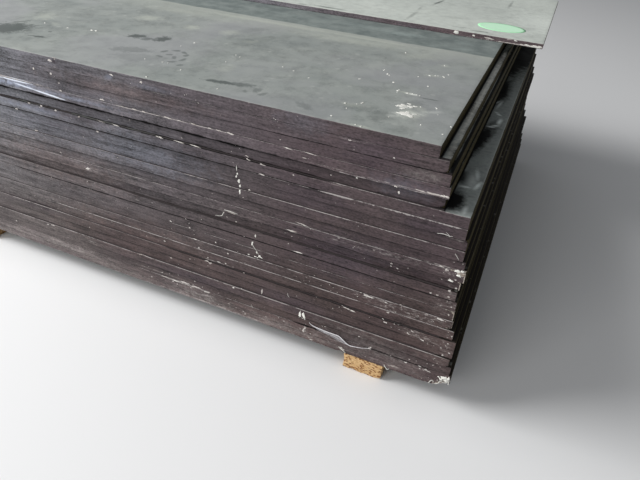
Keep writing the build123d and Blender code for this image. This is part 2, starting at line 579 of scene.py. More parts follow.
# The paint of the ends is painted dark: painted shade of the shaded right-hand ends
shaded_end_paint, shader = make_plain_paint("shaded_end_paint", SHADED_PAINT_END, SHADED_END_ARRIS)
shader.inputs["Specular IOR Level"].default_value = 0.02
back_paint, shader = make_plain_paint("back_paint", PAINT_BACK, ARRIS_WORN_AND_LIT)
shader.inputs["Specular IOR Level"].default_value = 0.20
print("plain paints:", shaded_end_paint.name, back_paint.name)

# %% [markdown]
# ## The paint of the long front
#
# The front is the face that everyone sees first. Its colour drifts from purple-brown on
# the right to blue-grey on the left, and the blue-grey is partly a painted sheen of the
# raking daylight. The marks come next, from broad stains to fine bright lines, with
# painted highlights and painted shade among them, and grit, nicks and pits last. A shader
# can only hold so many marks, so the near and the far part of the front have a material
# each, and each of them only takes the marks that reach into its part.

# %% Front paint
part_line = 450
mark_spread = 1.8


def reaching(marks, start, stop):
    """The marks that reach into a stretch of the front."""
    chosen = []
    for mark in marks:
        reach = mark[2] * mark_spread
        if mark[0] + reach > start and mark[0] - reach < stop:
            chosen.append(mark)
    return chosen


def make_front_paint(name, start, stop):
    """The paint of the front from start to stop, in millimetres left of the corner."""
    made, bench, shader, where, tones = start_edge(name)
    x, y, z = bench.parts(where)
    # The left-hand colours carry the painted sheen, mixed in towards the left
    sheen_share = bench.between(x, corner.x - 0.30, corner.x - 1.10)
    high_share = bench.between(z, corner.z + 0.10, corner.z + 0.38)
    paint_right = bench.mix(high_share, PAINT_LOW_RIGHT, PAINT_HIGH_RIGHT)
    sheened_paint_left = bench.mix(high_share, SHEENED_PAINT_LOW_LEFT, SHEENED_PAINT_HIGH_LEFT)
    paint = bench.mix(sheen_share, paint_right, sheened_paint_left)
    soft_texture = bench.between(bench.noise(where, 110.0, 4.0, 0.7), 0.30, 0.62)
    for marks, tint, texture in (
        (BROWN_PATCHES, PATCH_BROWN, 1.0), (BLUE_PATCHES, PATCH_BLUE, 1.0),
        (PURPLE_PATCHES, PATCH_PURPLE, 1.0), (GREY_PATCHES, PATCH_GREY, soft_texture),
        (DARK_PATCHES, CLEAN_AND_SHADED_PAINT, soft_texture),
    ):
        paint = add_front_marks(bench, where, paint, reaching(marks, start, stop), tint, texture)
    cool = bench.between(bench.noise(where, 5.0, 3.0, 0.6), 0.40, 0.62)
    paint = bench.mix(bench.times(cool, 0.35), paint, CLEAN_AND_SHADED_PAINT)
    # Towards the left the brush and the dirt have left broader and stronger streaks
    broad = streaks(bench, where, 0.06, 0.009, 1.8)
    broad_share = bench.between(x, corner.x - 0.30, corner.x - 0.60)
    colour = toned(bench, paint, (*tones, bench.times(broad, broad_share)))
    drawn = bench.stretched(where, (0.35, 0.35, 1.0))
    scuff_texture = bench.between(bench.noise(drawn, 230.0, 4.0, 0.8, 0.4), 0.50, 0.68)
    line_texture = bench.between(bench.noise(drawn, 260.0, 4.0, 0.8), 0.42, 0.56)
    for marks, tint, texture, ragged, soft in (
        (DUST_AND_SHEEN_PATCHES, DUST_AND_SHEEN_BLUE, soft_texture, 1.6, 0.8),
        (SCUFFS, GRIT_PALE, scuff_texture, 1.6, 0.8),
        (PALE_LINES, GRIT_PALE, line_texture, 1.6, 0.8),
        (PAINTED_GLOSS_BARS, GLOSS_HIGHLIGHT_BLUE, 1.0, 0.5, 0.4),
    ):
        chosen = reaching(marks, start, stop)
        colour = add_front_marks(bench, where, colour, chosen, tint, texture, ragged, soft)
    grit = flecks(bench, where, 0.011, 0.0014, 0.10)
    nicks = flecks(bench, where, 0.018, 0.0017, 0.12, 4.0)
    pits = flecks(bench, where, 0.013, 0.0030, 0.16, 1.6)
    # Pits are painted black: painted shade in small holes
    colour = bench.mix(bench.times(pits, 0.6), colour, GAP_SHADE_BLACK)
    pale = bench.times(bench.math("MAXIMUM", grit, nicks), 0.55)
    finish_edge(bench, shader, where, bench.mix(pale, colour, GRIT_PALE), ARRIS_WORN_AND_LIT, tones)
    shader.inputs["Specular IOR Level"].default_value = 0.20
    print(name, "has", len(made.node_tree.nodes), "nodes")
    return made


near_paint = make_front_paint("front_paint_near", -50, part_line)
far_paint = make_front_paint("front_paint_far", part_line, 2600)

# %% [markdown]
# ## Film faces
#
# The faces are covered with a smooth dark phenolic film, and a film of grey-green dust
# lies on it. The dust differs from face to face: thick and trodden on the top sheet,
# even and pale on the half sheet, which is painted paler still with a painted glare, thin
# on the ledges that the lower sheets show. All four films share one recipe, a bare film
# that shows through a cover of dust.

# %% One recipe for film and dust
FILM_BARE = (0.020, 0.022, 0.022, 1)
CRUMB_PALE = (0.62, 0.63, 0.58, 1)

# Flecks on the dust: their spacing and size in metres, the share kept and their strength
DUST_FLECKS = ((0.016, 0.0013, 0.12, 0.5), (0.007, 0.0010, 0.16, 0.4), (0.020, 0.0060, 0.30, 0.22))


def dusty_film(name, dust, dust_pale, cloud_size, contrast, rubbed=1.4):
    """A film material with clouds of dust: returns it, its bench, shader, place and colour."""
    made, bench, shader = new_material(name)
    where = bench.place()
    clouds = patchy(bench, where, cloud_size, contrast)
    colour = bench.mix(bench.plus(clouds, 0.45, clamp=True), dust, dust_pale)
    mottle = patchy(bench, where, cloud_size * 0.1, 1.0)
    thin = bench.plus(bench.times(mottle, rubbed), 0.06, clamp=True)
    colour = bench.mix(thin, colour, FILM_BARE)
    for spacing, size, share, strength in DUST_FLECKS:
        cover = flecks(bench, where, spacing, size, share)
        colour = bench.mix(bench.times(cover, strength), colour, CRUMB_PALE)
    roughness = bench.between(clouds, -0.4, 0.4, 0.48, 0.66)
    relief = bench.bump(bench.noise(where, 900.0, 3.0, 0.7), 0.25, 0.0003)
    bench.dress(shader, colour, roughness, relief)
    shader.inputs["Specular IOR Level"].default_value = 0.4
    return made, bench, shader, where, colour


print("the bare film is", FILM_BARE[:3])

# %% [markdown]
# ## Marks on the top sheet
#
# People have stepped up to the stack and leaned on it. Their soles left dark treads
# where the dust stuck to them, and paler patches where it was dropped again. Each mark
# is one smudge: where it lies, how long and how wide it is, which way it turns and how
# strong it is. The marks together tell the scale of the stack better than any texture.

# %% Marks on the dust
# Left of the corner and back from the front in mm, half length, half width, turn in degrees
# and strength
DARK_MARKS = (
    (1060, 98, 62, 50, 62, 0.85), (1080, 150, 30, 8, 70, 0.5), (965, 88, 22, 7, 8, 0.8),
    (972, 127, 6, 5, 0, 0.6), (812, 205, 24, 18, 20, 0.85), (782, 200, 16, 12, 60, 0.6),
    (756, 218, 28, 17, 80, 0.85), (760, 122, 50, 22, 25, 0.35), (720, 90, 60, 30, 25, 0.2),
    (700, 150, 12, 7, 70, 0.55), (684, 166, 12, 6, 20, 0.55), (664, 165, 11, 6, 150, 0.55),
    (650, 150, 10, 6, 100, 0.55), (680, 138, 10, 6, 40, 0.5), (662, 128, 11, 6, 120, 0.5),
    (688, 118, 12, 6, 160, 0.5), (640, 126, 12, 6, 85, 0.55), (650, 104, 12, 6, 30, 0.5),
    (626, 96, 10, 6, 60, 0.5), (513, 58, 38, 9, 6, 0.8), (478, 66, 28, 13, 20, 0.6),
    (440, 56, 9, 15, 10, 0.45), (424, 46, 7, 12, 160, 0.45), (455, 40, 6, 10, 60, 0.4),
    (343, 36, 24, 12, 150, 0.3), (262, 82, 36, 24, 30, 0.3), (222, 62, 20, 30, 10, 0.3),
    (170, 182, 21, 4, 3, 0.5), (185, 150, 26, 16, 30, 0.25), (590, 320, 90, 26, 70, 0.22),
    (640, 400, 50, 18, 60, 0.15),
)
PALE_MARKS = (
    (888, 345, 40, 34, 30, 0.6), (762, 336, 22, 24, 10, 0.6), (672, 350, 32, 26, 60, 0.5),
    (596, 312, 20, 15, 20, 0.4), (1075, 215, 30, 45, 30, 0.5), (1010, 180, 30, 12, 150, 0.35),
    (546, 130, 20, 30, 10, 0.35), (178, 98, 34, 26, 120, 0.6), (172, 128, 30, 14, 140, 0.4),
    (212, 192, 18, 5, 0, 0.8), (234, 6, 20, 5, 0, 0.7), (276, 82, 24, 15, 0, 0.45),
    (188, 394, 16, 10, 0, 0.4), (195, 315, 26, 9, 10, 0.5), (420, 455, 140, 30, 3, 0.5),
    (640, 488, 260, 14, 1, 0.6), (380, 492, 150, 12, 1, 0.6), (880, 450, 120, 30, 8, 0.35),
    (240, 430, 60, 30, 20, 0.3), (330, 470, 60, 22, 0, 0.4),
)
SPLASH_MARKS = (
    (196, 125, 13, 11, 31, 0.75), (184, 94, 30, 14, 31, 0.42), (205, 73, 12, 9, 31, 0.2),
    (146, 126, 24, 9, 31, 0.22), (202, 190, 14, 6, 0, 0.7), (265, 92, 30, 12, 20, 0.12),
)
BAND_MARKS = (
    (330, 590, 60, 22, 10, 0.8), (420, 600, 120, 30, 0, 0.35), (190, 600, 20, 30, 80, 0.4),
    (180, 545, 30, 12, 20, 0.5), (640, 590, 150, 20, 0, 0.2),
)


def add_marks(bench, where, colour, marks, tint, level, soft, ragged=2.2):
    """Lays smudges on a level face at a height in millimetres."""

    def centre_of(left, back):
        return on_stack(left, back, level)

    wobble = bench.swing(where, 75.0, 5.0, 0.75, ragged)
    return bench.mix(smudged(bench, where, marks, centre_of, wobble, soft), colour, tint)


print("marks on the dust:", len(DARK_MARKS), "dark and", len(PALE_MARKS), "pale")

# %% [markdown]
# ## The film of the top sheet
#
# Three things lie over each other here: clouds of grey and lilac dust, the marks, and
# the band next to the half sheet. That band was covered until the half sheet was pushed
# back, so it is darker, and the dust that was pushed along lies in a pale ridge in front
# of it. The border wanders a little, which a mask with a drift of noise gives.

# %% Top film
DUST_GREY = (0.240, 0.262, 0.252, 1)
DUST_PALE = (0.370, 0.388, 0.360, 1)
DUST_TROD = (0.066, 0.078, 0.074, 1)
DUST_FRESH = (0.440, 0.462, 0.405, 1)
DUST_LILAC = (0.285, 0.290, 0.300, 1)
SPLASH_WHITE = (0.78, 0.80, 0.74, 1)
BAND_DARK = (0.140, 0.166, 0.160, 1)
BAND_LIGHT = (0.232, 0.262, 0.248, 1)
BAND_BRIGHT = (0.270, 0.315, 0.300, 1)
sheet_top = (top_high.z - lowest_low.z) / MM
half_top = (half_high.z - lowest_low.z) / MM
ridge_front, band_front, drift = 400, 515, 16.0

top_film, bench, shader, where, colour = dusty_film("top_film", DUST_GREY, DUST_PALE, 0.30, 2.4)
lilac = bench.between(bench.noise(where, 3.2, 3.0, 0.55, 0.5), 0.45, 0.62, 0.0, 0.6)
colour = bench.mix(lilac, colour, DUST_LILAC)
x, y, z = bench.parts(where)
back = bench.math("DIVIDE", bench.math("SUBTRACT", y, corner.y), MM)
back = bench.plus(back, bench.swing(where, 9.0, 4.0, 0.6, drift))
ridge = bench.times(bench.between(back, ridge_front, band_front), 0.5)
colour = bench.mix(ridge, colour, DUST_FRESH)
for marks, tint, soft, ragged in (
    (PALE_MARKS, DUST_FRESH, 0.75, 2.2), (DARK_MARKS, DUST_TROD, 0.45, 2.2),
    (SPLASH_MARKS, SPLASH_WHITE, 0.8, 2.4),
):
    colour = add_marks(bench, where, colour, marks, tint, sheet_top, soft, ragged)
wiped = bench.between(bench.noise(where, 22.0, 5.0, 0.65), 0.36, 0.64)
band = bench.mix(wiped, BAND_DARK, BAND_LIGHT)
band = add_marks(bench, where, band, BAND_MARKS, BAND_BRIGHT, sheet_top, 0.8)
colour = bench.mix(bench.between(back, band_front - 3, band_front + 3), colour, band)
bench.put(shader.inputs["Base Color"], colour)
print("the top of the pile is at", round(sheet_top), "mm and the half sheet at", round(half_top))

# %% [markdown]
# ## The half sheet and the ledges
#
# The half sheet came last, so its dust is pale and even, with a few long scuffs from
# sliding it on, and it is painted paler still with a painted glare. The ledge of the sixth
# sheet was open to the dust, but its inner half next to the step is painted black, a
# painted shadow of the sheets above, as is its far part under the half sheet. The strip
# of the second sheet is paler than all other ledges, and the narrow ledges further down
# hold brown dirt, painted darker with the shade they lie in.

# %% Half film, ledge film and dirty film
# The half sheet's dust is painted paler than the top sheet's: dust with a painted glare
HALF_DUST_AND_GLARE = (0.535, 0.570, 0.525, 1)
HALF_PALE_AND_GLARE = (0.640, 0.675, 0.620, 1)
HALF_BRIGHT = (0.760, 0.800, 0.740, 1)
HALF_MARKS = (
    (335, 962, 56, 7, 81, 0.8), (361, 850, 30, 5, 90, 0.35), (143, 1085, 80, 6, 90, 0.4),
    (356, 745, 80, 7, 90, 0.35), (570, 684, 60, 9, 0, 0.6), (640, 674, 30, 7, 0, 0.5),
    (524, 658, 22, 6, 0, 0.4), (250, 800, 60, 20, 20, 0.15), (168, 688, 26, 9, 5, 0.55),
    (215, 700, 30, 10, 10, 0.3), (60, 800, 30, 20, 60, 0.15),
)
HALF_PALE_MARKS = ((20, 900, 190, 130, 90, 0.8),)
glared_half_film, bench, shader, where, colour = dusty_film("glared_half_film", HALF_DUST_AND_GLARE, HALF_PALE_AND_GLARE, 0.22, 2.4, 0.8)
colour = add_marks(bench, where, colour, HALF_PALE_MARKS, HALF_BRIGHT, half_top, 1.0)
colour = add_marks(bench, where, colour, HALF_MARKS, DUST_TROD, half_top, 0.7)
bench.put(shader.inputs["Base Color"], colour)

LEDGE_DUST = (0.262, 0.286, 0.275, 1)
LEDGE_PALE = (0.410, 0.445, 0.430, 1)
LEDGE_SHADOW_BLACK = (0.004, 0.004, 0.004, 1)
LEDGE_WHITE = (0.88, 0.94, 0.92, 1)
STRIP_PALE = (0.74, 0.74, 0.68, 1)
RIM_PALE = (0.45, 0.47, 0.45, 1)
# Painted shadows on the sixth sheet's ledge: its inner half next to the step, and its far part under the
# half sheet
LEDGE_SHADOW_AREAS = (
    (78, 42, 50, 27, 90, 1.2), (80, 130, 34, 20, 90, 0.9), (84, 290, 160, 25, 80, 1.2),
    (82, 640, 150, 30, 90, 1.2), (78, 960, 300, 40, 90, 1.2), (60, 1030, 300, 40, 90, 1.3),
)
WHITE_AREAS = (
    (60, 126, 36, 16, 100, 0.4), (48, 112, 22, 6, 80, 0.9), (66, 98, 13, 5, 10, 0.9),
    (55, 150, 32, 6, 100, 0.6), (55, 428, 28, 7, 88, 1.0), (60, 400, 14, 6, 40, 0.9),
    (68, 389, 12, 6, 5, 0.9), (62, 470, 12, 6, 140, 0.9), (69, 481, 9, 5, 150, 0.7),
    (70, 535, 40, 5, 84, 0.6), (78, 545, 30, 4, 70, 0.5), (52, 20, 18, 6, 90, 0.5),
)
STRIP_AREAS = ((94, 330, 470, 9, 90, 1.0),)
STRIP_SHADE = ((105, 400, 900, 5, 90, 1.2), (82.5, 500, 900, 5, 90, 1.3))
RIM_AREAS = ((40.4, 420, 430, 1.8, 90, 0.8),)
ledge_film, bench, shader, where, colour = dusty_film("ledge_film", LEDGE_DUST, LEDGE_PALE, 0.09, 2.6)
for marks, tint, soft, ragged in (
    (LEDGE_SHADOW_AREAS, LEDGE_SHADOW_BLACK, 0.6, 1.0), (WHITE_AREAS, LEDGE_WHITE, 0.8, 1.0),
    (STRIP_AREAS, STRIP_PALE, 0.9, 2.0), (STRIP_SHADE, LEDGE_SHADOW_BLACK, 0.4, 0.5),
    (RIM_AREAS, RIM_PALE, 0.5, 0.5),
):
    colour = add_marks(bench, where, colour, marks, tint, sheet_top, soft, ragged)

# A front edge that stands proud shows a hair of its upper face, which is dirty instead
# The film of the lower sheets is dark with dirt and with painted shade on the ledges of the shaded
# right-hand ends
DIRT_AND_SHADE_DARK = (0.016, 0.013, 0.011, 1)
DIRT_AND_SHADE_BROWN = (0.034, 0.027, 0.022, 1)
DIRT_FRONT = (0.055, 0.046, 0.046, 1)
DUST_FRONT = (0.170, 0.185, 0.170, 1)
front_strip = 9


def add_front_dirt(bench, where, colour, dirt, past):
    """Dirt on the front strip of a face, from past millimetres left of the corner."""
    x, y, z = bench.parts(where)
    at_front = bench.math("LESS_THAN", y, corner.y + front_strip * MM)
    under_pile = bench.math("LESS_THAN", x, corner.x - past * MM)
    return bench.mix(bench.times(at_front, under_pile), colour, dirt)


x, y, z = bench.parts(where)
dusted = bench.between(bench.noise(where, 14.0, 4.0, 0.65), 0.42, 0.60)
dusted = bench.times(dusted, bench.between(x, corner.x - 0.5, corner.x - 0.9))
dirt = bench.mix(dusted, DIRT_FRONT, DUST_FRONT)
bench.put(shader.inputs["Base Color"], add_front_dirt(bench, where, colour, dirt, 82))
shader.inputs["Specular IOR Level"].default_value = 0.08

dirty_shaded_film, bench, shader, where, colour = dusty_film("dirty_shaded_film", DIRT_AND_SHADE_DARK, DIRT_AND_SHADE_BROWN, 0.05, 2.0)
bench.put(shader.inputs["Base Color"], add_front_dirt(bench, where, colour, DIRT_FRONT, 40))
shader.inputs["Specular IOR Level"].default_value = 0.10
print("films:", top_film.name, glared_half_film.name, ledge_film.name, dirty_shaded_film.name)

# %% [markdown]
# ## The boards
#
# A board could be a plain box with a bevel, but then every joint in the pile would be
# the same ruled line. Real arrises are rounded and knocked by different amounts all the
# way along, and the veneers of a torn corner break one by one. So each board is rebuilt
# as a rim and two faces. The rim has a slice at each of many stations, close together
# round the near corner, where the tears are, and far apart where nobody looks.

# %% Stations round a board
fan_reach = 90 * MM
fine_step = 3 * MM
coarse_step = 20 * MM


def steps_along(start, stop, growth, widest):
    """Distances from start to stop that begin close together and spread out."""
    here = start
    while here < stop - widest * 0.5:
        yield here
        here += min(widest, fine_step + growth * (here - fan_reach))


def outline_stations(low, high):
    """Points round a board with the way in from each, anticlockwise from above.

    Round the near right corner, where no way is given, all ways in meet in one point.
    """
    length, width = high.x - low.x, high.y - low.y
    front_steps = list(steps_along(fan_reach, length, 0.008, 12 * MM))
    end_steps = steps_along(fan_reach, width, 0.012, 15 * MM)
    fan = [i * fine_step for i in range(1, int(fan_reach / fine_step))]
    outline = [(high.x - left, low.y, (0, 1)) for left in reversed(front_steps)]
    outline += [(high.x - left, low.y, None) for left in reversed(fan)]
    outline += [(high.x, low.y, None)]
    outline += [(high.x, low.y + back, None) for back in fan]
    outline += [(high.x, low.y + back, (-1, 0)) for back in end_steps]
    outline += [(high.x, high.y, (-1, -1))]
    outline += [(high.x - i * coarse_step, high.y, (0, -1)) for i in range(1, int(length / coarse_step))]
    outline += [(low.x, high.y, (1, -1))]
    outline += [(low.x, high.y - i * coarse_step, (1, 0)) for i in range(1, int(width / coarse_step))]
    outline += [(low.x, low.y, (1, 1))]
    pivot = Vector((high.x - fan_reach, low.y + fan_reach))
    stations = []
    for x, y, way in outline:
        point = Vector((x, y))
        inward = Vector(way) if way else pivot - point
        stations.append((point, inward.normalized()))
    return stations


print(len(outline_stations(top_low, top_high)), "stations round a full sheet")

# %% [markdown]
# ## Torn corners, found with rays
#
# The CAD solids already hold the torn corners, ply by ply. Copying their sizes here
# would be one more thing to keep in step, so on a torn board a ray is sent into the solid
# at each station round the near corner and at the middle of each ply, and says how much
# of that ply is missing.

# %% Rays into the CAD solid
sheet_plies = 11
half_plies = 7
ray_start = 20 * MM
ray_reach = 140 * MM


def ray_tree(mesh):
    """A mesh's surface as a tree that rays can be sent into."""
    mesh.calc_loop_triangles()
    points = [vertex.co.copy() for vertex in mesh.vertices]
    return BVHTree.FromPolygons(points, [tuple(t.vertices) for t in mesh.loop_triangles])


def torn_depth(solid, point, inward, height):
    """How far in from its outline the solid begins at a height, in metres."""
    way = Vector((inward.x, inward.y, 0))
    start = Vector((point.x, point.y, height)) - way * ray_start
    hit, _, _, distance = solid.ray_cast(start, way, ray_reach)
    return 0.0 if hit is None else max(0.0, distance - ray_start)


lowest_sheet = ray_tree(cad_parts[sheet_names[-1]].data)
lowest_corner = Vector((lowest_high.x, lowest_low.y))
tear = torn_depth(lowest_sheet, lowest_corner, Vector((-1, 1)).normalized(), lowest_low.z + MM)
print("the lowest corner is torn", round(tear / MM, 1), "mm deep")

# %% [markdown]
# ## How each board is worn
#
# The boards are alike, but the light is not kind to all of them. Some stand a little
# proud and show a bright arris, worn paint with a painted highlight, and above the fifth
# sheet the pile gapes, with painted shade in the gap. These few notes, read off the real
# stack from the top sheet down, say which. The half sheet has the number 0 in them.

# %% Notes on each board
SHEET_TONES = (
    1.46, 1.44, 1.46, 1.68, 1.1, 1.38, 1.26, 1.32, 1.38, 1.25, 1.44, 1.22, 1.4, 1.34, 1.28, 1.34,
    1.4, 1.3, 1.4, 1.48, 1.44, 1.9, 2.25,
)

# Bright top arrises, worn paint with a painted highlight: the sheet, where it begins and ends left of
# the corner, and how bright
LIT_ARRISES = (
    (0, 20, 700, 0.25), (1, 100, 2450, 0.1), (2, 560, 760, 0.2), (3, 170, 320, 0.2),
    (4, 290, 440, 0.2), (4, 440, 700, 0.45), (4, 700, 1000, 0.12), (6, 40, 1000, 0.28),
    (7, 50, 300, 1.0), (7, 300, 420, 0.35), (8, 60, 300, 0.25), (9, 40, 330, 0.45),
    (9, 330, 560, 0.3), (9, 560, 1100, 0.18), (11, 40, 900, 0.28), (12, 40, 300, 0.25),
    (13, 200, 600, 0.2), (14, 250, 420, 0.28), (15, 40, 600, 0.3), (16, 30, 560, 0.42),
    (17, 30, 400, 0.45), (17, 400, 900, 0.42), (18, 30, 240, 0.25), (18, 900, 1200, 0.3),
    (19, 300, 1100, 0.22), (20, 40, 480, 0.42), (20, 480, 900, 0.34), (20, 970, 1150, 0.28),
    (21, 500, 1100, 0.22), (22, 60, 400, 0.28), (22, 400, 700, 0.35), (23, 60, 1200, 0.3),
)

# Bottom arrises where the paint is rubbed off
RUBBED_ARRISES = (
    (0, 15, 70, 1.1), (0, 70, 170, 1.0), (0, 170, 700, 0.35), (3, 890, 1100, 1.0),
    (4, 75, 330, 0.65), (4, 830, 930, 1.0), (4, 330, 460, 0.12), (4, 460, 830, 0.3),
    (10, 60, 330, 0.35), (23, 30, 400, 0.4), (23, 400, 700, 0.8), (23, 700, 1400, 0.5),
)

# Joints that gape, with painted shade in the gap: the sheet below the joint, its stretch, and how dark
# the gap is
DARK_JOINTS = (
    (3, 30, 400, 0.45), (5, 420, 1600, 1.45), (5, 280, 420, 0.95), (6, 300, 1600, 0.75),
    (7, 300, 1200, 0.35), (8, 40, 400, 0.4), (10, 40, 1000, 0.6), (12, 40, 500, 0.55),
    (13, 25, 130, 0.6), (13, 130, 300, 0.35), (13, 300, 700, 0.3), (14, 40, 1000, 0.4),
    (18, 40, 600, 0.6), (19, 60, 900, 0.45), (21, 60, 700, 0.5), (22, 60, 160, 0.6),
    (22, 240, 300, 1.0),
)

# Sheets whose upper part is dark, under the shade and drips of the one above
SHADED_TOPS = (
    (5, 60, 1400, 0.3), (7, 300, 1500, 0.45), (8, 30, 330, 0.25), (10, 200, 1500, 0.4),
    (12, 300, 1400, 0.35), (14, 30, 300, 0.15), (17, 600, 1200, 0.2), (19, 100, 1000, 0.25),
    (21, 30, 500, 0.35), (22, 60, 200, 0.3),
)
# Least painted shade in a joint and least worn paint with painted highlight on an arris, on the front
# and on the ends
plain_gap = 0.4
end_gap = 0.25
plain_light = 0.16
end_light = 0.3
fade_length = 40.0

# Torn corners where clean wood still shows, by sheet: the other ones have gone dark
BARE_CORNERS = {11: 1.0, 12: 0.9, 15: 0.8, 16: 0.6, 22: 0.6, 23: 1.0}
stained = 0.25
knocked = 0.45


def along(notes, number, left):
    """The strongest note on a sheet at a place, fading out over its ends."""
    best = 0.0
    for sheet, start, stop, strength in notes:
        if sheet == number:
            inside = min(left - start, stop - left) / fade_length + 1.0
            best = max(best, strength * min(1.0, max(0.0, inside)))
    return best


print("lit arrises:", len(LIT_ARRISES), "dark joints:", len(DARK_JOINTS))

# %% [markdown]
# ## Wear along an arris
#
# An arris that has been dragged over others is rounded by a slowly changing amount, with
# quick small changes on top and now and then a bite. Smooth noise gives all three. A few
# bites that show in the photograph are listed one by one.

# %% Wear along an arris
arris_plain, arris_least, arris_most = 0.55 * MM, 0.2 * MM, 1.7 * MM
slow_swing, slow_length = 0.25 * MM, 0.22
quick_swing, quick_length = 0.30 * MM, 0.021
pale_wear = 0.8 * MM
knock_length, knock_rarity, knock_scale = 0.030, 0.52, 5 * MM


def ripple(distance, wavelength, seed):
    """Smooth noise from -1 to 1 along an edge."""
    return noise.noise(Vector((distance / wavelength, seed * 7.31, seed * 1.7)))


def arris_radius(distance, seed, pale):
    """How far an arris is rounded over at a distance along it: more where it is pale."""
    slow = slow_swing * ripple(distance, slow_length, seed)
    quick = quick_swing * ripple(distance, quick_length, seed + 40)
    return min(arris_most, max(arris_least, arris_plain + slow + quick + pale * pale_wear))


def knock_depth(distance, seed):
    """Small random knocks out of an arris: mostly none, now and then a bite."""
    return max(0.0, ripple(distance, knock_length, seed + 90) - knock_rarity) * knock_scale


# Bites listed one by one: sheet, arris, place left of the corner, half length and depth in mm
BITES = (
    (1, "top", 838, 6, 4.5), (1, "top", 500, 5, 1.2), (11, "top", 36, 8, 2.5),
    (12, "top", 43, 6, 2.0), (23, "bottom", 222, 7, 3.5), (23, "bottom", 150, 5, 2.0),
    (23, "bottom", 124, 5, 2.5), (21, "top", 306, 8, 3.0),
)


def bite_depth(number, arris, left):
    """How deep the chosen bites go at a place along the front."""
    deepest = 0.0
    for sheet, where_cut, place, half_length, depth in BITES:
        if sheet == number and where_cut == arris:
            deepest = max(deepest, (1.0 - abs(left - place) / half_length) * depth)
    return deepest * MM


print("chosen bites:", len(BITES))

# %% [markdown]
# ## One slice of a board
#
# A slice is a column of points from the lower face over the lower arris, up the edge,
# over the upper arris and on to the upper face. On a torn board two rings mark each
# ply, so that a step between two plies stays sharp.

# %% Rings of a slice
ROUND_SHARES = (0.0, 0.4, 0.75, 1.0)
lip = 7 * MM
ply_seam = 0.05 * MM
clear_of_arris = 1.75 * MM
plain_rings = 6


def edge_heights(thickness, plies, torn):
    """Heights of the rings between the two arrises: two a ply where the board is torn."""
    if torn:
        ply = thickness / plies
        heights = [k * ply + ply_seam for k in range(plies)]
        heights += [(k + 1) * ply - ply_seam for k in range(plies)]
    else:
        span = thickness - 2 * clear_of_arris
        heights = [clear_of_arris + span * k / (plain_rings - 1) for k in range(plain_rings)]
    lowest = clear_of_arris - ply_seam
    highest = thickness - clear_of_arris + ply_seam
    return [height for height in sorted(heights) if lowest <= height <= highest]


def board_rings(thickness, heights, low_radius, high_radius):
    """One upright slice of a board: inset, height and kind of each ring, bottom to top."""
    low_rings, high_rings = [], []
    for share in ROUND_SHARES:
        inset, drop = 1 - math.sin(share * math.pi / 2), 1 - math.cos(share * math.pi / 2)
        low_rings.append((low_radius * inset, low_radius * drop, "arris"))
        high_rings.append((high_radius * inset, thickness - high_radius * drop, "arris"))
    return [
        (low_radius + lip, 0.0, "face"), *low_rings, *((0.0, height, "edge") for height in heights),
        *reversed(high_rings), (high_radius + lip, thickness, "face"),
    ]


for torn in (False, True):
    rings = edge_heights(top_high.z - top_low.z, sheet_plies, torn)
    print("rings on a torn edge:" if torn else "rings on a whole edge:", len(rings))

# %% [markdown]
# ## Building the boards
#
# Every station becomes one slice, pushed inwards by the tears, bites, gaps and relief
# found there. The numbers that the paints read are worked out at the same time, one row
# of them for each point.

# %% The slices of one board
hair = 0.001 * MM
shade_depth = 9 * MM
slot_depth = 6 * MM
slot_gap, slot_gain = 0.9, 2.5
edge_relief = 0.16 * MM
relief_length = 0.05
bare_from = 0.6 * MM
hidden_knocks = 0.3


def gap_slot(gap):
    """How deep an arris draws back from a joint that gapes."""
    return slot_depth * min(1.0, max(0.0, gap - slot_gap) * slot_gain)


def notes_at(number, on_front, left):
    """Light, rub, gap below, gap above and shade of a board at a place on its rim."""
    if not on_front:
        return end_light, 0.0, end_gap, 0.0, 0.0
    return (
        max(plain_light, along(LIT_ARRISES, number, left)),
        along(RUBBED_ARRISES, number, left),
        max(plain_gap, along(DARK_JOINTS, number + 1, left)),
        along(DARK_JOINTS, number, left),
        along(SHADED_TOPS, number, left),
    )


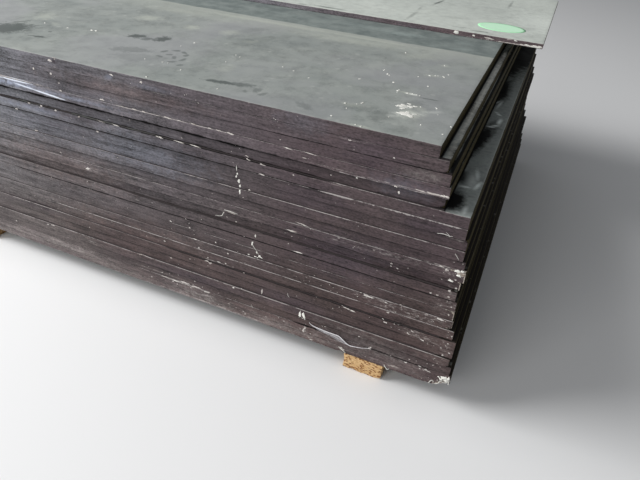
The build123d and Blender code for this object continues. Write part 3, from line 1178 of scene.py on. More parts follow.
def build_board(name, number, plies, tone, torn):
    """Rebuilds one board round its CAD solid, with wear, and returns its object."""
    low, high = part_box(name)
    thickness = high.z - low.z
    ply = thickness / plies
    solid = ray_tree(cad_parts[name].data)
    heights = edge_heights(thickness, plies, torn)
    stations = outline_stations(low, high)
    fronts = [point.y < low.y + hair for point, inward in stations]
    on_end = [point.x > high.x - hair and point.y < high.y - hair for point, inward in stations]
    points, marks = [], []
    travelled = 0.0
    previous = stations[0][0]
    for (point, inward), on_front in zip(stations, fronts):
        travelled += (point - previous).length
        previous = point
        left = (corner.x - point.x) / MM
        near = (point - Vector((high.x, low.y))).length < fan_reach
        lost = [0.0] * plies
        if torn and near:
            middles = [low.z + (k + 0.5) * ply for k in range(plies)]
            lost = [torn_depth(solid, point, inward, middle) for middle in middles]
        bareness = BARE_CORNERS.get(number, stained) if near else knocked
        lit, rubbed, gap_below, gap_above, shade = notes_at(number, on_front, left)
        knocks = 1.0 if on_front else hidden_knocks
        low_bite = knock_depth(travelled, number * 2) * knocks
        high_bite = knock_depth(travelled, number * 2 + 1) * knocks
        if on_front:
            low_bite = max(low_bite, bite_depth(number, "bottom", left))
            high_bite = max(high_bite, bite_depth(number, "top", left))
        low_radius = arris_radius(travelled, number * 2, rubbed)
        high_radius = arris_radius(travelled, number * 2 + 1, lit)
        for inset, height, kind in board_rings(thickness, heights, low_radius, high_radius):
            depth = thickness - height
            missing = lost[min(int(height / ply), plies - 1)]
            bitten = max(low_bite - height, high_bite - depth, 0.0)
            way = inset + missing + bitten
            if kind == "edge":
                swell = ripple(travelled, relief_length, number * 30 + height * 900)
                way += edge_relief * (1 + swell)
            if height < clear_of_arris:
                way += gap_slot(gap_below)
            elif depth < clear_of_arris:
                way += gap_slot(gap_above)
            points.append((point.x + inward.x * way, point.y + inward.y * way, low.z + height))
            light = 0.0 if kind == "face" else lit
            bare = bareness * min(1.0, (missing + bitten) / bare_from)
            # The tone darkens towards the top of a sheet under the one above: painted shade over its
            # dust
            dust_and_shade = tone * (1 - shade * max(0.0, 1 - depth / shade_depth))
            marks.append((height / MM, depth / MM, light, rubbed, gap_below, gap_above, bare, dust_and_shade))
    return board_object(name + "_board", points, fronts, on_end, marks)


print("a gaping joint is", round(gap_slot(2) / MM, 1), "mm deep")

# %% [markdown]
# ## Joining the slices
#
# The slices are joined into one closed mesh. Each face gets its material: the near or
# the far paint on the front, the end paint on the right, the back paint elsewhere, and
# film above and below. The rows of numbers become attributes, which the paints read.

# %% One mesh from many slices
VERTEX_MARKS = ("up", "down", "light", "rub", "gap_low", "gap_high", "bare", "tone")
NEAR, FILM, END, FAR, BACK = range(5)
sharp_angle = math.radians(50)


def quads(here, there, count, closed=True):
    """Faces between two rows of points, given the number of the first point of each."""
    steps = [(k, (k + 1) % count) for k in range(count if closed else count - 1)]
    return [(here + k, there + k, there + after, here + after) for k, after in steps]


def smooth_object(name, mesh):
    """A smoothly shaded object whose sharp edges stay sharp."""
    mesh.polygons.foreach_set("use_smooth", [True] * len(mesh.polygons))
    mesh.set_sharp_from_angle(angle=sharp_angle)
    return new_object(name, mesh)


def board_object(name, points, fronts, on_end, marks):
    """Joins the slices into one closed mesh, with its materials and its marks."""
    station_count = len(fronts)
    ring_count = len(points) // station_count
    faces, materials = [], []
    for i in range(station_count):
        after = (i + 1) % station_count
        here, there = i * ring_count, after * ring_count
        if fronts[i] and fronts[after]:
            paint = NEAR if points[here][0] > corner.x - part_line * MM else FAR
        else:
            paint = END if on_end[i] or on_end[after] else BACK
        faces += quads(here, there, ring_count, closed=False)
        materials += [FILM, *[paint] * (ring_count - 3), FILM]
    faces.append([i * ring_count + ring_count - 1 for i in range(station_count)])
    faces.append([i * ring_count for i in reversed(range(station_count))])
    mesh = bpy.data.meshes.new(name)
    mesh.from_pydata(points, [], faces)
    mesh.polygons.foreach_set("material_index", materials + [FILM, FILM])
    for mark, values in zip(VERTEX_MARKS, zip(*marks)):
        mesh.attributes.new(mark, "FLOAT", "POINT").data.foreach_set("value", values)
    return smooth_object(name, mesh)


print("each point carries", len(VERTEX_MARKS), "numbers for the paints")

# %% [markdown]
# ## The pile
#
# All boards come from the same recipe. What differs is the film on top, the tears and
# the dust. Each board stands for its CAD solid and says which finish it wears.

# %% All boards
TORN_SHEETS = (2, 5, 8, 11, 12, 15, 16, 20, 22, 23)


def finish_piece(piece, node, slot, *materials):
    """Gives a piece its materials and lets it stand for its CAD node."""
    for material in materials:
        piece.data.materials.append(material)
    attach(piece, "root")
    if node:
        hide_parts(node)


# The half sheet's film lies a hair lower, which leaves room for its sticker
film_drop = 0.3 * MM
half_tone = 2.35
open_ledges = 6
boards = []
for number, name in enumerate(sheet_names, start=1):
    board = build_board(name, number, sheet_plies, SHEET_TONES[number - 1], number in TORN_SHEETS)
    film = top_film if number == 1 else ledge_film if number <= open_ledges else dirty_shaded_film
    finish_piece(
        board, name, "film_faced_plywood", near_paint, film, shaded_end_paint, far_paint, back_paint)
    boards.append(board)
half_board = build_board("half_sheet", 0, half_plies, half_tone, False)
for vertex in half_board.data.vertices:
    vertex.co.z -= film_drop * max(0.0, (vertex.co.z - half_low.z) / (half_high.z - half_low.z))
finish_piece(
    half_board, "half_sheet", "half_sheet_film",
    near_paint, glared_half_film, shaded_end_paint, far_paint, back_paint)
boards.append(half_board)
print("boards:", len(boards), "with", sum(len(board.data.polygons) for board in boards), "faces")

# %% [markdown]
# ## Bearers
#
# The pile stands on strips cut from thick chipboard. A saw leaves chipboard with crumbly
# arrises and a face of pressed flakes, so a bevelled box would look like plastic. Each
# bearer is cut into a fine grid instead, and every point is worn inwards by noise, most
# of all along the arrises.

# %% Chipboard
CHIP_PALE = (0.70, 0.49, 0.26, 1)
CHIP_MIDDLE = (0.50, 0.30, 0.13, 1)
CHIP_DARK = (0.22, 0.09, 0.03, 1)

chip_material, bench, shader = new_material("chipboard_sawn")
where = bench.place()
chip_cells = bench.cells(bench.stretched(where, (230.0, 230.0, 480.0)))
pick = bench.parts(chip_cells["Color"])
dark_share = bench.times(bench.math("GREATER_THAN", pick[1], 0.76), 0.95)
colour = bench.mix(dark_share, bench.mix(pick[0], CHIP_PALE, CHIP_MIDDLE), CHIP_DARK)
patches = patchy(bench, where, 0.05, 1.2)
colour = bench.mix(bench.times(bench.math("ABSOLUTE", patches), 0.8), colour, CHIP_MIDDLE)
roughness = bench.between(patches, -0.4, 0.4, 0.8, 0.95)
bench.dress(shader, colour, roughness, bench.bump(chip_cells["Distance"], 0.6, 0.001))
shader.inputs["Specular IOR Level"].default_value = 0.25
print("chipboard has", len(chip_material.node_tree.nodes), "nodes")

# %% Bearer strips
touching = 1e-6
face_wear, face_grain = 0.2 * MM, 90
arris_wear, arris_grain, crumbly = 2.2 * MM, 140, 0.25


def slice_box(low, high, steps):
    """A box whose faces are cut into a grid, as a bmesh."""
    cut = bmesh.new()
    bmesh.ops.create_cube(cut, size=1.0)
    size = high - low
    for vertex in cut.verts:
        vertex.co = low + Vector(size[k] * (vertex.co[k] + 0.5) for k in range(3))
    for axis in range(3):
        normal = Vector((0, 0, 0))
        normal[axis] = 1
        for k in range(1, steps[axis]):
            place = low.copy()
            place[axis] += size[axis] * k / steps[axis]
            everything = cut.verts[:] + cut.edges[:] + cut.faces[:]
            bmesh.ops.bisect_plane(cut, geom=everything, plane_co=place, plane_no=normal)
    return cut


def wear_box(cut, low, high, seed):
    """Moves the points of a sliced box inwards, most along its arrises."""
    for vertex in cut.verts:
        sides = []
        for axis in range(3):
            if abs(vertex.co[axis] - low[axis]) < touching:
                sides.append((axis, 1))
            elif abs(vertex.co[axis] - high[axis]) < touching:
                sides.append((axis, -1))
        wear = face_wear * (noise.noise(vertex.co * face_grain + Vector((seed, 0, 0))) + 1)
        if len(sides) > 1:
            crumble = noise.noise(vertex.co * arris_grain + Vector((0, seed, 0))) + crumbly
            wear += arris_wear * max(0.0, crumble)
        for axis, sign in sides:
            vertex.co[axis] += sign * wear


bearer_steps = (20, 150, 10)
for place, name in enumerate(("bearer_right", "bearer_middle", "bearer_left")):
    low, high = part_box(name)
    cut = slice_box(low, high, bearer_steps)
    wear_box(cut, low, high, place * 5.0)
    mesh = bpy.data.meshes.new(name + "_strip")
    cut.to_mesh(mesh)
    cut.free()
    finish_piece(smooth_object(name + "_strip", mesh), name, "chipboard", chip_material)
print("each bearer has", len(mesh.polygons), "faces")

# %% [markdown]
# ## Small things that lie on the boards
#
# Plaster crumbs, flakes of paint, drips of white and splinters are what the eye catches
# first on the dusty boards. There are two shapes. A *dome* is a low ragged lump, closed
# underneath, that leans into the surface it lies on. A *strand* is a flattened tube that
# follows a few points, for splinters and torn wrapping. A whole list of them is joined
# into one mesh.

# %% Domes
UP = Vector((0, 0, 1))
FRONT = Vector((0, -1, 0))
ALONG = Vector((1, 0, 0))
spokes = 14
DOME_RINGS = ((0.5, 0.8), (0.8, 0.45), (1.0, 0.0), (0.9, -0.5))


def dome(centre, out, turn, half_length, half_width, height, ragged, seed):
    """Points and faces of one low dome that stands out from a surface.

    It lies along the boards, turned by some degrees. Its sizes are in millimetres.
    """
    way = (Matrix.Rotation(math.radians(turn), 3, out) @ ALONG).normalized() * MM
    side = out.cross(way)
    rise = out * (height * MM)
    points = [centre + rise]
    for share, lift in DOME_RINGS:
        for k in range(spokes):
            angle = 2 * math.pi * k / spokes
            spot = Vector((math.cos(angle) * 1.8, math.sin(angle) * 1.8, seed * 3.7))
            reach = share * max(0.35, 1 + ragged * noise.noise(spot))
            offset = way * (half_length * reach * math.cos(angle))
            offset += side * (half_width * reach * math.sin(angle))
            points.append(centre + offset + rise * lift)
    points.append(centre - rise * 0.5)
    faces = [(0, 1 + k, 1 + (k + 1) % spokes) for k in range(spokes)]
    for ring in range(len(DOME_RINGS) - 1):
        faces += quads(1 + ring * spokes, 1 + (ring + 1) * spokes, spokes)
    last, end = 1 + (len(DOME_RINGS) - 1) * spokes, len(points) - 1
    faces += [(last + k, end, last + (k + 1) % spokes) for k in range(spokes)]
    return points, faces


# No small thing stands out further than the boldest sheet
front_limit = cad_box[0].y + 0.05 * MM


def join_shapes(name, shapes):
    """One object from many small closed shapes."""
    points, faces = [], []
    for shape_points, shape_faces in shapes:
        start = len(points)
        points += [(p.x, max(p.y, front_limit), p.z) for p in shape_points]
        faces += [tuple(start + i for i in face) for face in shape_faces]
    mesh = bpy.data.meshes.new(name)
    mesh.from_pydata(points, [], faces)
    mesh.polygons.foreach_set("use_smooth", [True] * len(faces))
    print(name, "has", len(shapes), "shapes and", len(faces), "faces")
    return new_object(name, mesh)


print("a dome has", len(dome(corner, UP, 0, 3, 2, 1, 0.5, 1)[1]), "faces")

# %% Strands
strand_sides = 8
steps_between = 4


def smooth_path(points):
    """More points along a smooth curve through the given ones, each a place and a radius."""
    dense = []
    last = len(points) - 1
    for i in range(last):
        before, start, stop, after = (points[min(max(k, 0), last)] for k in range(i - 1, i + 3))
        for step in range(steps_between):
            t = step / steps_between
            place = 0.5 * (
                2 * start[0] + (stop[0] - before[0]) * t
                + (2 * before[0] - 5 * start[0] + 4 * stop[0] - after[0]) * t ** 2
                + (3 * start[0] - before[0] - 3 * stop[0] + after[0]) * t ** 3
            )
            dense.append((place, start[1] + (stop[1] - start[1]) * t))
    return dense + [points[-1]]


def strand(points, out, flat):
    """Points and faces of a flattened tube through places with radii, closed at both ends."""
    path = smooth_path(points)
    made, faces = [], []
    for i, (place, radius) in enumerate(path):
        ahead = path[min(i + 1, len(path) - 1)][0] - path[max(i - 1, 0)][0]
        side = out.cross(ahead.normalized())
        for k in range(strand_sides):
            angle = 2 * math.pi * k / strand_sides
            rise = out * (flat * math.sin(angle))
            made.append(place + (side * math.cos(angle) + rise) * radius)
    for i in range(len(path) - 1):
        faces += quads((i + 1) * strand_sides, i * strand_sides, strand_sides)
    faces.append(tuple(reversed(range(strand_sides))))
    faces.append(tuple(range(len(made) - strand_sides, len(made))))
    return made, faces


print("a strand has", strand_sides, "sides and", steps_between, "steps between two places")

# %% [markdown]
# ## Seating small things on the front
#
# The worn boards stand back and forth by a few millimetres, so a chip set on a flat
# plane would float or sink. Rays from the front find the board that stands out most at
# the place of each chip, and the chip is set on that.

# %% Seats
worn_fronts = [ray_tree(board.data) for board in boards]
seat_ray_start = 60 * MM
SEAT_NUDGES = (-1.6, 0.0, 1.6)
lowest_aim = 2


def seat(left, up):
    """The point of the worn front at a place, or nothing where no board is met.

    A place just below the pile takes its depth from the lowest sheet.
    """
    hits = []
    for nudge in SEAT_NUDGES:
        start = on_stack(left, 0, max(up, lowest_aim) + nudge) + FRONT * seat_ray_start
        for tree in worn_fronts:
            hit, _, _, _ = tree.ray_cast(start, -FRONT)
            if hit is not None:
                hits.append(hit.y)
    if not hits:
        return None
    return Vector((corner.x - left * MM, min(hits), corner.z + up * MM))


print("the front at left 100, up 100 is at y", round(seat(100, 100).y, 4))

# %% [markdown]
# ## Crumbs and splashes on the top sheet
#
# Lime plaster fell on the top sheet and dried as two flat splashes and a scatter of
# crumbs. The splashes are groups of wide low domes, since one smooth oval would look
# like a coin. Lime, chips and stretched wrapping all blend two tones in the same way, so
# one recipe makes their materials.


# %% Two-tone materials
def two_tone(name, pale, dark, size, contrast, lift, roughness, grain, relief):
    """A material of two tones that lie in patches over each other."""
    made, bench, shader = new_material(name)
    where = bench.place()
    tone = patchy(bench, where, size, contrast)
    bench.dress(
        shader, bench.mix(bench.plus(tone, lift, clamp=True), pale, dark),
        bench.between(tone, -0.4, 0.4, *roughness),
        bench.bump(bench.noise(where, *grain), *relief),
    )
    return made


LIME_WHITE = (0.86, 0.85, 0.79, 1)
LIME_GREY = (0.50, 0.49, 0.45, 1)
CHIP_WHITE = (0.72, 0.69, 0.65, 1)
CHIP_PINK = (0.26, 0.21, 0.19, 1)
WRAP_PALE = (0.80, 0.78, 0.80, 1)
WRAP_GREY = (0.40, 0.38, 0.40, 1)
white_lime = two_tone(
    "white_lime", LIME_WHITE, LIME_GREY, 0.012, 2.0, 0.3, (0.75, 0.95), (700.0, 3.0, 0.6), (0.5, 0.0005))
pale_chip = two_tone(
    "pale_chip", CHIP_WHITE, CHIP_PINK, 0.03, 3.0, 0.4, (0.6, 0.85), (600.0, 3.0, 0.6), (0.5, 0.0005))
wrap_white = two_tone(
    "wrap_white", WRAP_PALE, WRAP_GREY, 0.015, 2.0, 0.25, (0.25, 0.45), (220.0, 2.0, 0.5), (0.4, 0.0006))
print("two-tone materials:", white_lime.name, pale_chip.name, wrap_white.name)

# %% Crumbs and splashes
# Left of the corner, back from the front, half length, half width in mm, turn in degrees
SPLASHES = (
    (200, 127, 10, 6, 20), (190, 130, 8, 5, -20), (197, 115, 5, 4, 60), (181, 134, 5, 3, 10),
    (188, 93, 11, 5, 5), (178, 88, 8, 4, -15), (186, 102, 4, 3, 0), (208, 119, 3, 2, 0),
    (172, 100, 4, 2, 30), (193, 140, 4, 2, 0),
)
# Left, back and size in mm
CRUMBS = (
    (201, 192, 3), (193, 191, 3), (228, 186, 2.5), (172, 137, 2.5), (148, 147, 2.5),
    (138, 118, 2.5), (152, 61, 3), (108, 79, 3), (113, 43, 3), (206, 65, 2.5), (286, 295, 3),
    (273, 274, 4), (268, 268, 3), (249, 235, 2.5), (228, 198, 3), (309, 215, 2.5), (392, 166, 3),
    (263, 101, 4), (283, 436, 4), (185, 320, 2.5), (287, 20, 3.5), (273, 273, 4.5), (287, 291, 3),
    (229, 193, 4), (189, 318, 3.5), (172, 318, 3.5), (168, 338, 3), (310, 214, 3), (187, 190, 3.5),
    (187, 248, 3), (146, 144, 3), (686, 234, 4), (662, 93, 4), (651, 94, 3), (700, 89, 3),
    (608, 74, 3.5), (634, 10, 4), (696, 199, 3), (914, 185, 5), (904, 187, 5), (560, 204, 3),
    (566, 161, 3), (461, 196, 3), (433, 187, 3), (573, 211, 3), (1032, 172, 4), (966, 170, 4),
    (500, 26, 3), (188, 394, 3.5), (199, 311, 4), (175, 322, 3), (217, 293, 3), (186, 247, 3),
    (249, 232, 4), (288, 83, 4), (264, 98, 4), (278, 63, 3), (270, 90, 2.5), (210, 190, 4),
    (232, 5, 4), (242, 7, 3),
)


def on_top(left, back):
    """A point on the top sheet."""
    return Vector((corner.x - left * MM, corner.y + back * MM, top_high.z))


shapes = []
for seed, (left, back, half_length, half_width, turn) in enumerate(SPLASHES):
    shapes.append(dome(on_top(left, back), UP, turn, half_length, half_width, 0.5, 1.1, seed))
for seed, (left, back, size) in enumerate(CRUMBS):
    half = size / 2
    centre = on_top(left, back)
    shapes.append(dome(centre, UP, seed * 47, half * 1.2, half * 0.8, half * 0.6, 0.7, seed + 50))
splashes = join_shapes("lime_splashes", shapes)
finish_piece(splashes, None, "film_faced_plywood", white_lime)

# %% [markdown]
# ## Chips, flakes and drips on the front
#
# Chips that can be picked out in the photograph are listed one by one. Between them the
# arrises are full of fine flakes that only count as a crowd, so these are strewn by a
# seeded dice over a few zones. The white drips and the lumps of clean wood at the
# knocked corners are thicker, and splinters stick out of the lowest corner.

# %% Lists of chips, drips and splinters
# Left of the corner, up from the underside of the pile, half length, half height in mm,
# turn in degrees
FRONT_CHIPS = (
    (427, 317.5, 2.5, 1.6, 0), (433, 383, 4, 1.2, 20), (427, 379, 4, 1.2, 20),
    (400, 376.5, 6, 1, 5), (400, 357.5, 5, 0.7, 3), (486, 250, 7, 1.0, -58),
    (470, 256, 10, 0.8, 8), (477, 158, 2, 1.5, 0), (162, 400, 2.2, 1.8, 0),
    (157, 388, 1.6, 2.4, 0), (274, 388, 1.6, 1.2, 0), (322, 409, 4, 0.6, 4),
    (613, 377, 10, 1.6, 5), (571, 378, 12, 0.9, 4), (535, 378, 10, 1.1, 4), (748, 378, 9, 0.8, 4),
    (713, 378, 8, 0.8, 4), (931, 377, 4, 1.6, 0), (898, 378, 3, 1.6, 0), (861, 376, 4, 1.2, 0),
    (969, 357, 3, 1.2, 0), (691, 420, 5, 1.0, 5), (663, 420, 5, 1.0, 5), (642, 420, 5, 1.0, 5),
    (590, 420, 7, 0.9, 5), (564, 420, 6, 0.9, 5), (533, 420, 9, 0.8, 5), (502, 420, 6, 0.8, 5),
    (486, 420, 5, 0.9, 5), (463, 420, 8, 1.3, 5), (352, 419, 8, 0.8, 5), (308, 419, 10, 0.7, 5),
    (848, 477, 4, 2.0, 10), (640, 475, 2.4, 1.8, 0), (810, 260, 5, 2.0, 0),
    (879, 279, 2.5, 1.6, 0), (546, 149, 2.2, 1.8, 0), (519, 122, 2.2, 1.8, 0),
    (399, 93, 2.2, 1.8, 0), (150, 246, 2, 1.8, 0), (138, 239, 1.4, 1.2, 0),
    (172, 447, 1.4, 1.2, 0), (180, 165, 8, 1.4, 5), (146, 163, 3, 1.2, 0), (139, 143, 3, 1.4, 0),
    (141, 120, 5, 1.2, 0), (94, 111, 3, 1.4, 20), (67, 107, 3.4, 1.3, 10), (88, 120, 4.5, 1.0, 10),
    (56, 270, 2.6, 1.6, 0), (66, 274, 4, 1.1, 5), (43, 229, 2, 1.8, 0), (42, 216, 1.8, 1.5, 30),
    (73, 213, 1.8, 1.3, 0), (33, 197, 1.4, 1.4, 0), (34, 179, 1.4, 2, 0), (26, 87, 1.6, 2, 0),
    (16, 97, 1.6, 1.4, 0), (19, 136, 1.4, 2, 0), (22, 119, 1.6, 1.6, 0), (46, 36, 7, 1.0, 8),
    (60, 41, 3, 1.1, 0), (88, 38, 3, 1.1, 0), (162, 41, 3, 1.3, 0), (98, 403.5, 12, 1.5, 2),
    (84, 404, 5, 2.2, 10), (122, 403, 8, 0.9, 4), (45, 165, 6, 1.6, 10), (219, 123, 7, 1.4, 6),
    (205, 121, 7, 1.0, 8), (34, 235, 2, 1.4, 0), (61, 213, 2, 1.2, 0), (185, 66, 2, 1.6, 20),
    (160, 45, 2, 1.6, 0), (439, 126, 1.6, 1.2, 0), (461, 235, 1.6, 1.2, 0), (220, 9, 6.0, 3.0, 20),
    (112, 11, 8, 2.6, -15), (287, 4, 3.4, 2.2, 0), (338, 255.5, 12, 1.1, 0),
    (325, 212, 11, 1.0, 0), (320, 275.5, 10, 0.9, 8), (631, 138, 2.6, 2, 0), (618, 100, 2.6, 2, 0),
    (561, 58, 2, 1.6, 0), (463, 80, 3, 1.6, 0), (527, 125, 4, 1.4, 0), (517, 123, 3, 1.2, 0),
    (499, 130, 3, 1.2, 0), (483, 132, 2, 1.4, 0), (506, 175, 2, 1.4, 0), (554, 168, 4, 1.2, 0),
    (566, 191, 2, 1.4, 0), (612, 192, 2, 1.2, 0), (895, 453, 2, 1.6, 0), (852, 451, 2, 1.8, 0),
    (803, 376, 3, 1.2, 0), (738, 423, 4, 1.6, 0), (931, 317, 4, 1.4, 0), (762, 355, 2.4, 1.4, 0),
    (836, 421, 3, 1.4, 0), (705, 476, 3.4, 1.4, 0), (961, 79, 3, 1.4, 0), (945, 82, 5, 1.6, 5),
    (1070, 53, 2, 1.6, 0), (246, 459, 3, 0.8, 0), (229, 395, 1.8, 1.2, 0), (300, 36, 2, 4, 12),
    (303, 26, 1.6, 4, 8), (640, 41, 10, 1.2, 0), (612, 40, 12, 1.5, 0), (586, 44, 10, 1.8, 0),
    (556, 43, 9, 1.3, 0), (532, 39, 7, 1.2, -10), (112, 485, 8, 1.0, 0), (92, 485, 8, 1.2, 0),
    (76, 485.2, 9, 1.3, 0), (60, 485.4, 9, 1.6, 0), (93, 493, 8, 0.9, 0), (140, 488, 12, 1.2, 5),
    (399, 92, 1.5, 6.5, 8),
)
DRIPS = (
    (451, 357, 0.8, 5, 0), (450, 346, 1.5, 2.6, 0), (403, 173, 3.0, 1.2, 15),
    (416, 171, 3.4, 1.0, 5), (452, 340, 1.3, 2.2, 20), (449, 330, 2.8, 3.4, 20),
    (447, 320, 2.0, 2.8, 0), (446, 309, 1.7, 4.8, 5), (416, 220, 1.1, 4.6, 10),
    (423, 200, 1.3, 5.0, 20), (413, 182, 1.5, 2.6, 0), (407, 175, 2.4, 3.0, 20),
    (411, 170, 1.4, 1.4, 0), (431, 171, 2.2, 1.4, 0),
)
# White lumps at the knocked corners and on the half sheet, with how far each stands proud
CORNER_LUMPS = (
    (220, 490.5, 8, 3.4, 0, 0.4), (177, 489, 3, 2.2, 0, 0.4), (78, 492.5, 4, 1.6, 0, 0.3),
    (48, 486, 10, 1.5, 3, 0.3), (34, 486.4, 9, 2.1, 3, 0.3), (23, 486.8, 6, 2.3, 0, 0.3),
    (39, 273, 5.5, 3.2, 8, 1.0), (35, 265, 3.4, 2.6, 10, 1.4), (45, 251, 4.4, 2.2, 15, 0.8),
    (31, 275, 3.0, 1.8, 0, 2.0), (311, 69, 2.6, 9, 6, 0.6), (303, 70, 3.0, 9, -8, 0.6),
    (306, 61, 4.8, 3.8, 0, 0.6), (12, 33, 7, 4.6, 10, 3.0), (7, 29, 4.2, 5.5, 0, 3.5),
    (17, 27, 4, 2.6, 20, 2.0), (4, 35, 2.6, 3.6, 0, 2.5), (22, 31, 3, 1.4, 30, 1.0),
    (2.5, 22, 1.0, 9, 0, 1.5),
)
# Where flakes are strewn: from and to in mm left, from and to in mm up, how many, and the
# half length of the largest
FLAKE_ZONES = (
    (22, 62, 60, 290, 40, 1.5), (62, 330, 145, 172, 34, 1.6), (60, 330, 110, 128, 16, 1.6),
    (20, 90, 6, 60, 14, 1.6), (90, 420, 4, 60, 22, 1.8), (420, 700, 4, 60, 26, 2.0),
    (100, 420, 225, 272, 20, 1.6), (330, 1000, 300, 480, 44, 1.4), (420, 1000, 80, 300, 50, 1.6),
)
# Splinters as places with radii: left, up, how far proud of the front, radius, all in mm
SPLINTERS = (
    ((38, 1, 0.3, 0.7), (33, 12, 0.6, 1.0), (27, 4, 1.0, 1.0), (21, 8, 1.0, 0.9), (19, 17, 0.6, 0.6)),
    ((19, 16, 0.6, 0.6), (13, 13, 1.2, 0.9), (6, 12, 1.5, 0.9), (3, 6, 1.5, 0.8), (2, -3, 1.0, 1.0)),
    ((24, 22, 0.3, 0.5), (16, 20, 1.0, 0.9), (9, 16, 1.5, 0.7), (5, 18, 1.2, 0.4)),
    ((16, 12, 0.4, 0.5), (11, 6, 1.2, 0.8), (7, 3, 1.4, 0.5)),
    ((129, 7, 0.3, 0.6), (126, 3, 0.8, 0.9), (121, -2, 1.0, 0.9), (118, 1, 0.5, 0.6)),
    ((226, 12, 0.3, 0.5), (219, 8, 0.8, 1.0), (213, 4, 0.6, 0.8), (210, 1, 0.3, 0.5)),
    ((84, 337, 0.2, 0.25), (74, 339, 0.3, 0.45), (64, 338, 0.3, 0.35), (59, 339, 0.2, 0.2)),
    ((70, 343, 0.2, 0.2), (66, 340, 0.3, 0.35), (63, 336, 0.2, 0.2)),
    ((49, 308, 0.2, 0.2), (45, 303, 0.3, 0.4), (41, 298, 0.2, 0.2)),
    ((507, 236, 0.2, 0.3), (493, 239, 0.3, 0.6), (488, 249, 0.3, 0.6), (483, 258, 0.2, 0.4)),
    ((483, 258, 0.2, 0.4), (470, 258.5, 0.3, 0.6), (454, 257, 0.2, 0.4)),
    ((341, 112, 0.2, 0.2), (340, 106, 0.3, 0.4), (337, 101, 0.2, 0.2)),
    ((424, 204, 0.2, 0.3), (421, 196, 0.3, 0.6), (414, 187, 0.3, 0.4), (409, 178, 0.2, 0.5)),
    ((424, 48, 0.2, 0.2), (422, 44, 0.3, 0.4), (419, 41, 0.2, 0.2)),
)
print("chips:", len(FRONT_CHIPS), "drips:", len(DRIPS), "splinters:", len(SPLINTERS))


# %% Chips and drips on the front
def front_dome(mark, proud, ragged, seed):
    """A dome on the front from its left, up, half length, half height and turn."""
    left, up, half_length, half_height, turn = mark
    return dome(seat(left, up), FRONT, -turn, half_length, half_height, proud, ragged, seed)


def strand_on_front(points, flat):
    """A strand through places on the front."""
    places = [(seat(left, up) + FRONT * (proud * MM), radius * MM) for left, up, proud, radius in points]
    return strand(places, FRONT, flat)


shapes = [front_dome(mark, 0.4, 1.2, seed) for seed, mark in enumerate(FRONT_CHIPS)]
dice = random.Random(11)
for from_left, to_left, from_up, to_up, how_many, largest in FLAKE_ZONES:
    for flake in range(how_many):
        place = seat(dice.uniform(from_left, to_left), dice.uniform(from_up, to_up))
        turn = dice.uniform(-20, 20)
        half = dice.uniform(0.6, 1.0) ** 2 * largest
        flat = dice.uniform(0.35, 0.7)
        if place:
            shapes.append(dome(place, FRONT, turn, half, half * flat, half * 0.25, 1.2, flake))
chips = join_shapes("front_chips", shapes)
finish_piece(chips, None, "film_faced_plywood", pale_chip)

shapes = [front_dome(mark, 0.6, 0.8, seed) for seed, mark in enumerate(DRIPS)]
for seed, (*mark, proud) in enumerate(CORNER_LUMPS):
    shapes.append(front_dome(mark, proud, 0.9, seed + 90))
shapes += [strand_on_front(points, 0.5) for points in SPLINTERS]
white_bits = join_shapes("drips_and_splinters", shapes)
finish_piece(white_bits, None, "film_faced_plywood", white_lime)

# %% [markdown]
# ## Torn wrapping
#
# The pile came wrapped in clear film. One shred of it still hangs on the lowest sheets.
# Its torn edge is stretched white and stands a little off the boards, and below it the
# film is a grey veil. The edge is a strand, and the veil is a thin closed leaf between
# that edge and a lower one.

# %% A shred of wrapping
VEIL_PALE = (0.52, 0.50, 0.52, 1)
VEIL_GREY = (0.26, 0.24, 0.25, 1)
veil_thickness = 0.15 * MM
veil_start, veil_stop = 2, 9
WRAP_EDGE = (
    (291, 55, 0.4, 0.5), (286, 51, 1.0, 0.9), (278, 49, 1.2, 1.1), (264, 48, 1.3, 1.0),
    (247, 47, 1.4, 0.9), (228, 47, 1.6, 1.1), (221, 44, 1.8, 1.2), (213, 38, 1.8, 1.2),
    (203, 32, 1.5, 1.1), (192, 33, 1.2, 0.8), (180, 35, 0.8, 0.6), (168, 39, 0.4, 0.4),
    (160, 42, 0.2, 0.3),
)
VEIL_EDGE = (
    (278, 46, 0.3), (270, 42, 0.4), (250, 39, 0.5), (238, 36, 0.5), (228, 33, 0.6), (218, 31, 0.6),
    (206, 30, 0.5),
)

wrap_veil, bench, shader = new_material("wrap_veil")
creases = streaks(bench, bench.place(), 0.03, 0.004, 2.0)
bench.dress(
    shader, bench.mix(bench.plus(creases, 0.4, clamp=True), VEIL_PALE, VEIL_GREY),
    bench.between(creases, -0.4, 0.4, 0.3, 0.5), bench.bump(creases, 0.4, 0.0006),
)
bench.put(shader.inputs["Alpha"], bench.between(creases, -0.35, 0.35, 0.75, 0.35))


def leaf(upper, lower, thickness):
    """A thin closed leaf between two rows of as many places."""
    back = -FRONT * thickness
    rows = [upper, lower, [p + back for p in lower], [p + back for p in upper]]
    count = len(upper)
    points = [p for row in rows for p in row]
    faces = [(0, 3 * count, 2 * count, count), (count - 1, 2 * count - 1, 3 * count - 1, 4 * count - 1)]
    for row in range(4):
        faces += quads(row * count, (row + 1) % 4 * count, count, closed=False)
    return points, faces


shred = join_shapes("wrapping_edge", [strand_on_front(WRAP_EDGE, 0.45)])
finish_piece(shred, None, "film_faced_plywood", wrap_white)
upper, lower = [
    [seat(left, up) + FRONT * (proud * MM) for left, up, proud, *_ in edge]
    for edge in (WRAP_EDGE[veil_start:veil_stop], VEIL_EDGE)
]
veil = join_shapes("wrapping_veil", [leaf(upper, lower, veil_thickness)])
finish_piece(veil, None, "film_faced_plywood", wrap_veil)

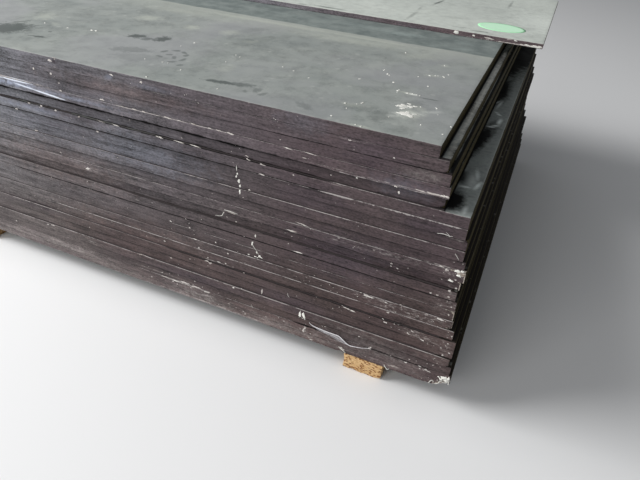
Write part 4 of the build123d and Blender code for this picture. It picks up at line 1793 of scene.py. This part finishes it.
# %% [markdown]
# ## The green oval
#
# A delivery sticker is stuck near the front corner of the half sheet. It is thin paper,
# so it is built as an oval sheet about a tenth of a millimetre thick that follows the
# board, with its edge slightly lifted in places. It stays plain: only its colour
# matters here, which has faded everywhere but along the rim.

# %% Sticker
STICKER_GREEN = (0.44, 0.93, 0.52, 1)
STICKER_WORN = (0.66, 0.98, 0.72, 1)
BLACK, WHITE = (0, 0, 0, 1), (1, 1, 1, 1)
sticker_left, sticker_back = 126, 766
sticker_half_length, sticker_half_width = 60, 45
sticker_rings, sticker_spokes = 8, 72
sticker_lift = 0.05 * MM
paper_thickness = 0.08 * MM
curl_length, curl_seed = 0.7, 3

sticker_green, bench, shader = new_material("sticker_green")
where = bench.place()
tone = patchy(bench, where, 0.03, 1.6)
oval = (sticker_left, sticker_back, sticker_half_length * 0.96, sticker_half_width * 0.94, 0, 1.0)
faded = add_marks(bench, where, BLACK, (oval,), WHITE, half_top, 0.12, 0.1)
faded = bench.math("SUBTRACT", faded, bench.math("ABSOLUTE", tone), clamp=True)
bench.dress(
    shader, bench.mix(faded, STICKER_GREEN, STICKER_WORN), bench.between(tone, -0.4, 0.4, 0.45, 0.6),
    bench.bump(bench.noise(where, 300.0, 2.0, 0.5), 0.3, 0.0003),
)

centre = Vector((corner.x - sticker_left * MM, corner.y + sticker_back * MM, half_high.z - film_drop))
points, faces = [], []
for ring in range(sticker_rings):
    share = (ring + 1) / sticker_rings
    for k in range(sticker_spokes):
        angle = 2 * math.pi * k / sticker_spokes
        reach = Vector((sticker_half_length * math.cos(angle), sticker_half_width * math.sin(angle), 0))
        curl = max(0.0, ripple(angle, curl_length, curl_seed)) * share ** 6
        points.append(centre + reach * MM * share + UP * (sticker_lift * (1 + curl)))
    if ring:
        faces += quads((ring - 1) * sticker_spokes, ring * sticker_spokes, sticker_spokes)
hub = len(points)
points.append(centre + UP * sticker_lift)
faces += [(hub, k, (k + 1) % sticker_spokes) for k in range(sticker_spokes)]
sticker = join_shapes("sticker", [(points, faces)])
paper = sticker.modifiers.new("paper", "SOLIDIFY")
paper.thickness = paper_thickness
paper.offset = 0
finish_piece(sticker, None, "half_sheet_film", sticker_green)
print("the sticker is", 2 * sticker_half_length, "by", 2 * sticker_half_width, "mm")

# %% [markdown]
# ## Sizes before and after
#
# The dressed stack has to stay inside the box of the CAD model, or it would no longer
# fit where the model fits. Both boxes are gathered here, and the new one is printed.

# %% Sizes before and after
visual_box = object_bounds()
sizes = {
    "cad": [list(cad_box[0]), list(cad_box[1])],
    "visual": [list(visual_box[0]), list(visual_box[1])],
}
print("visual box", sizes["visual"])
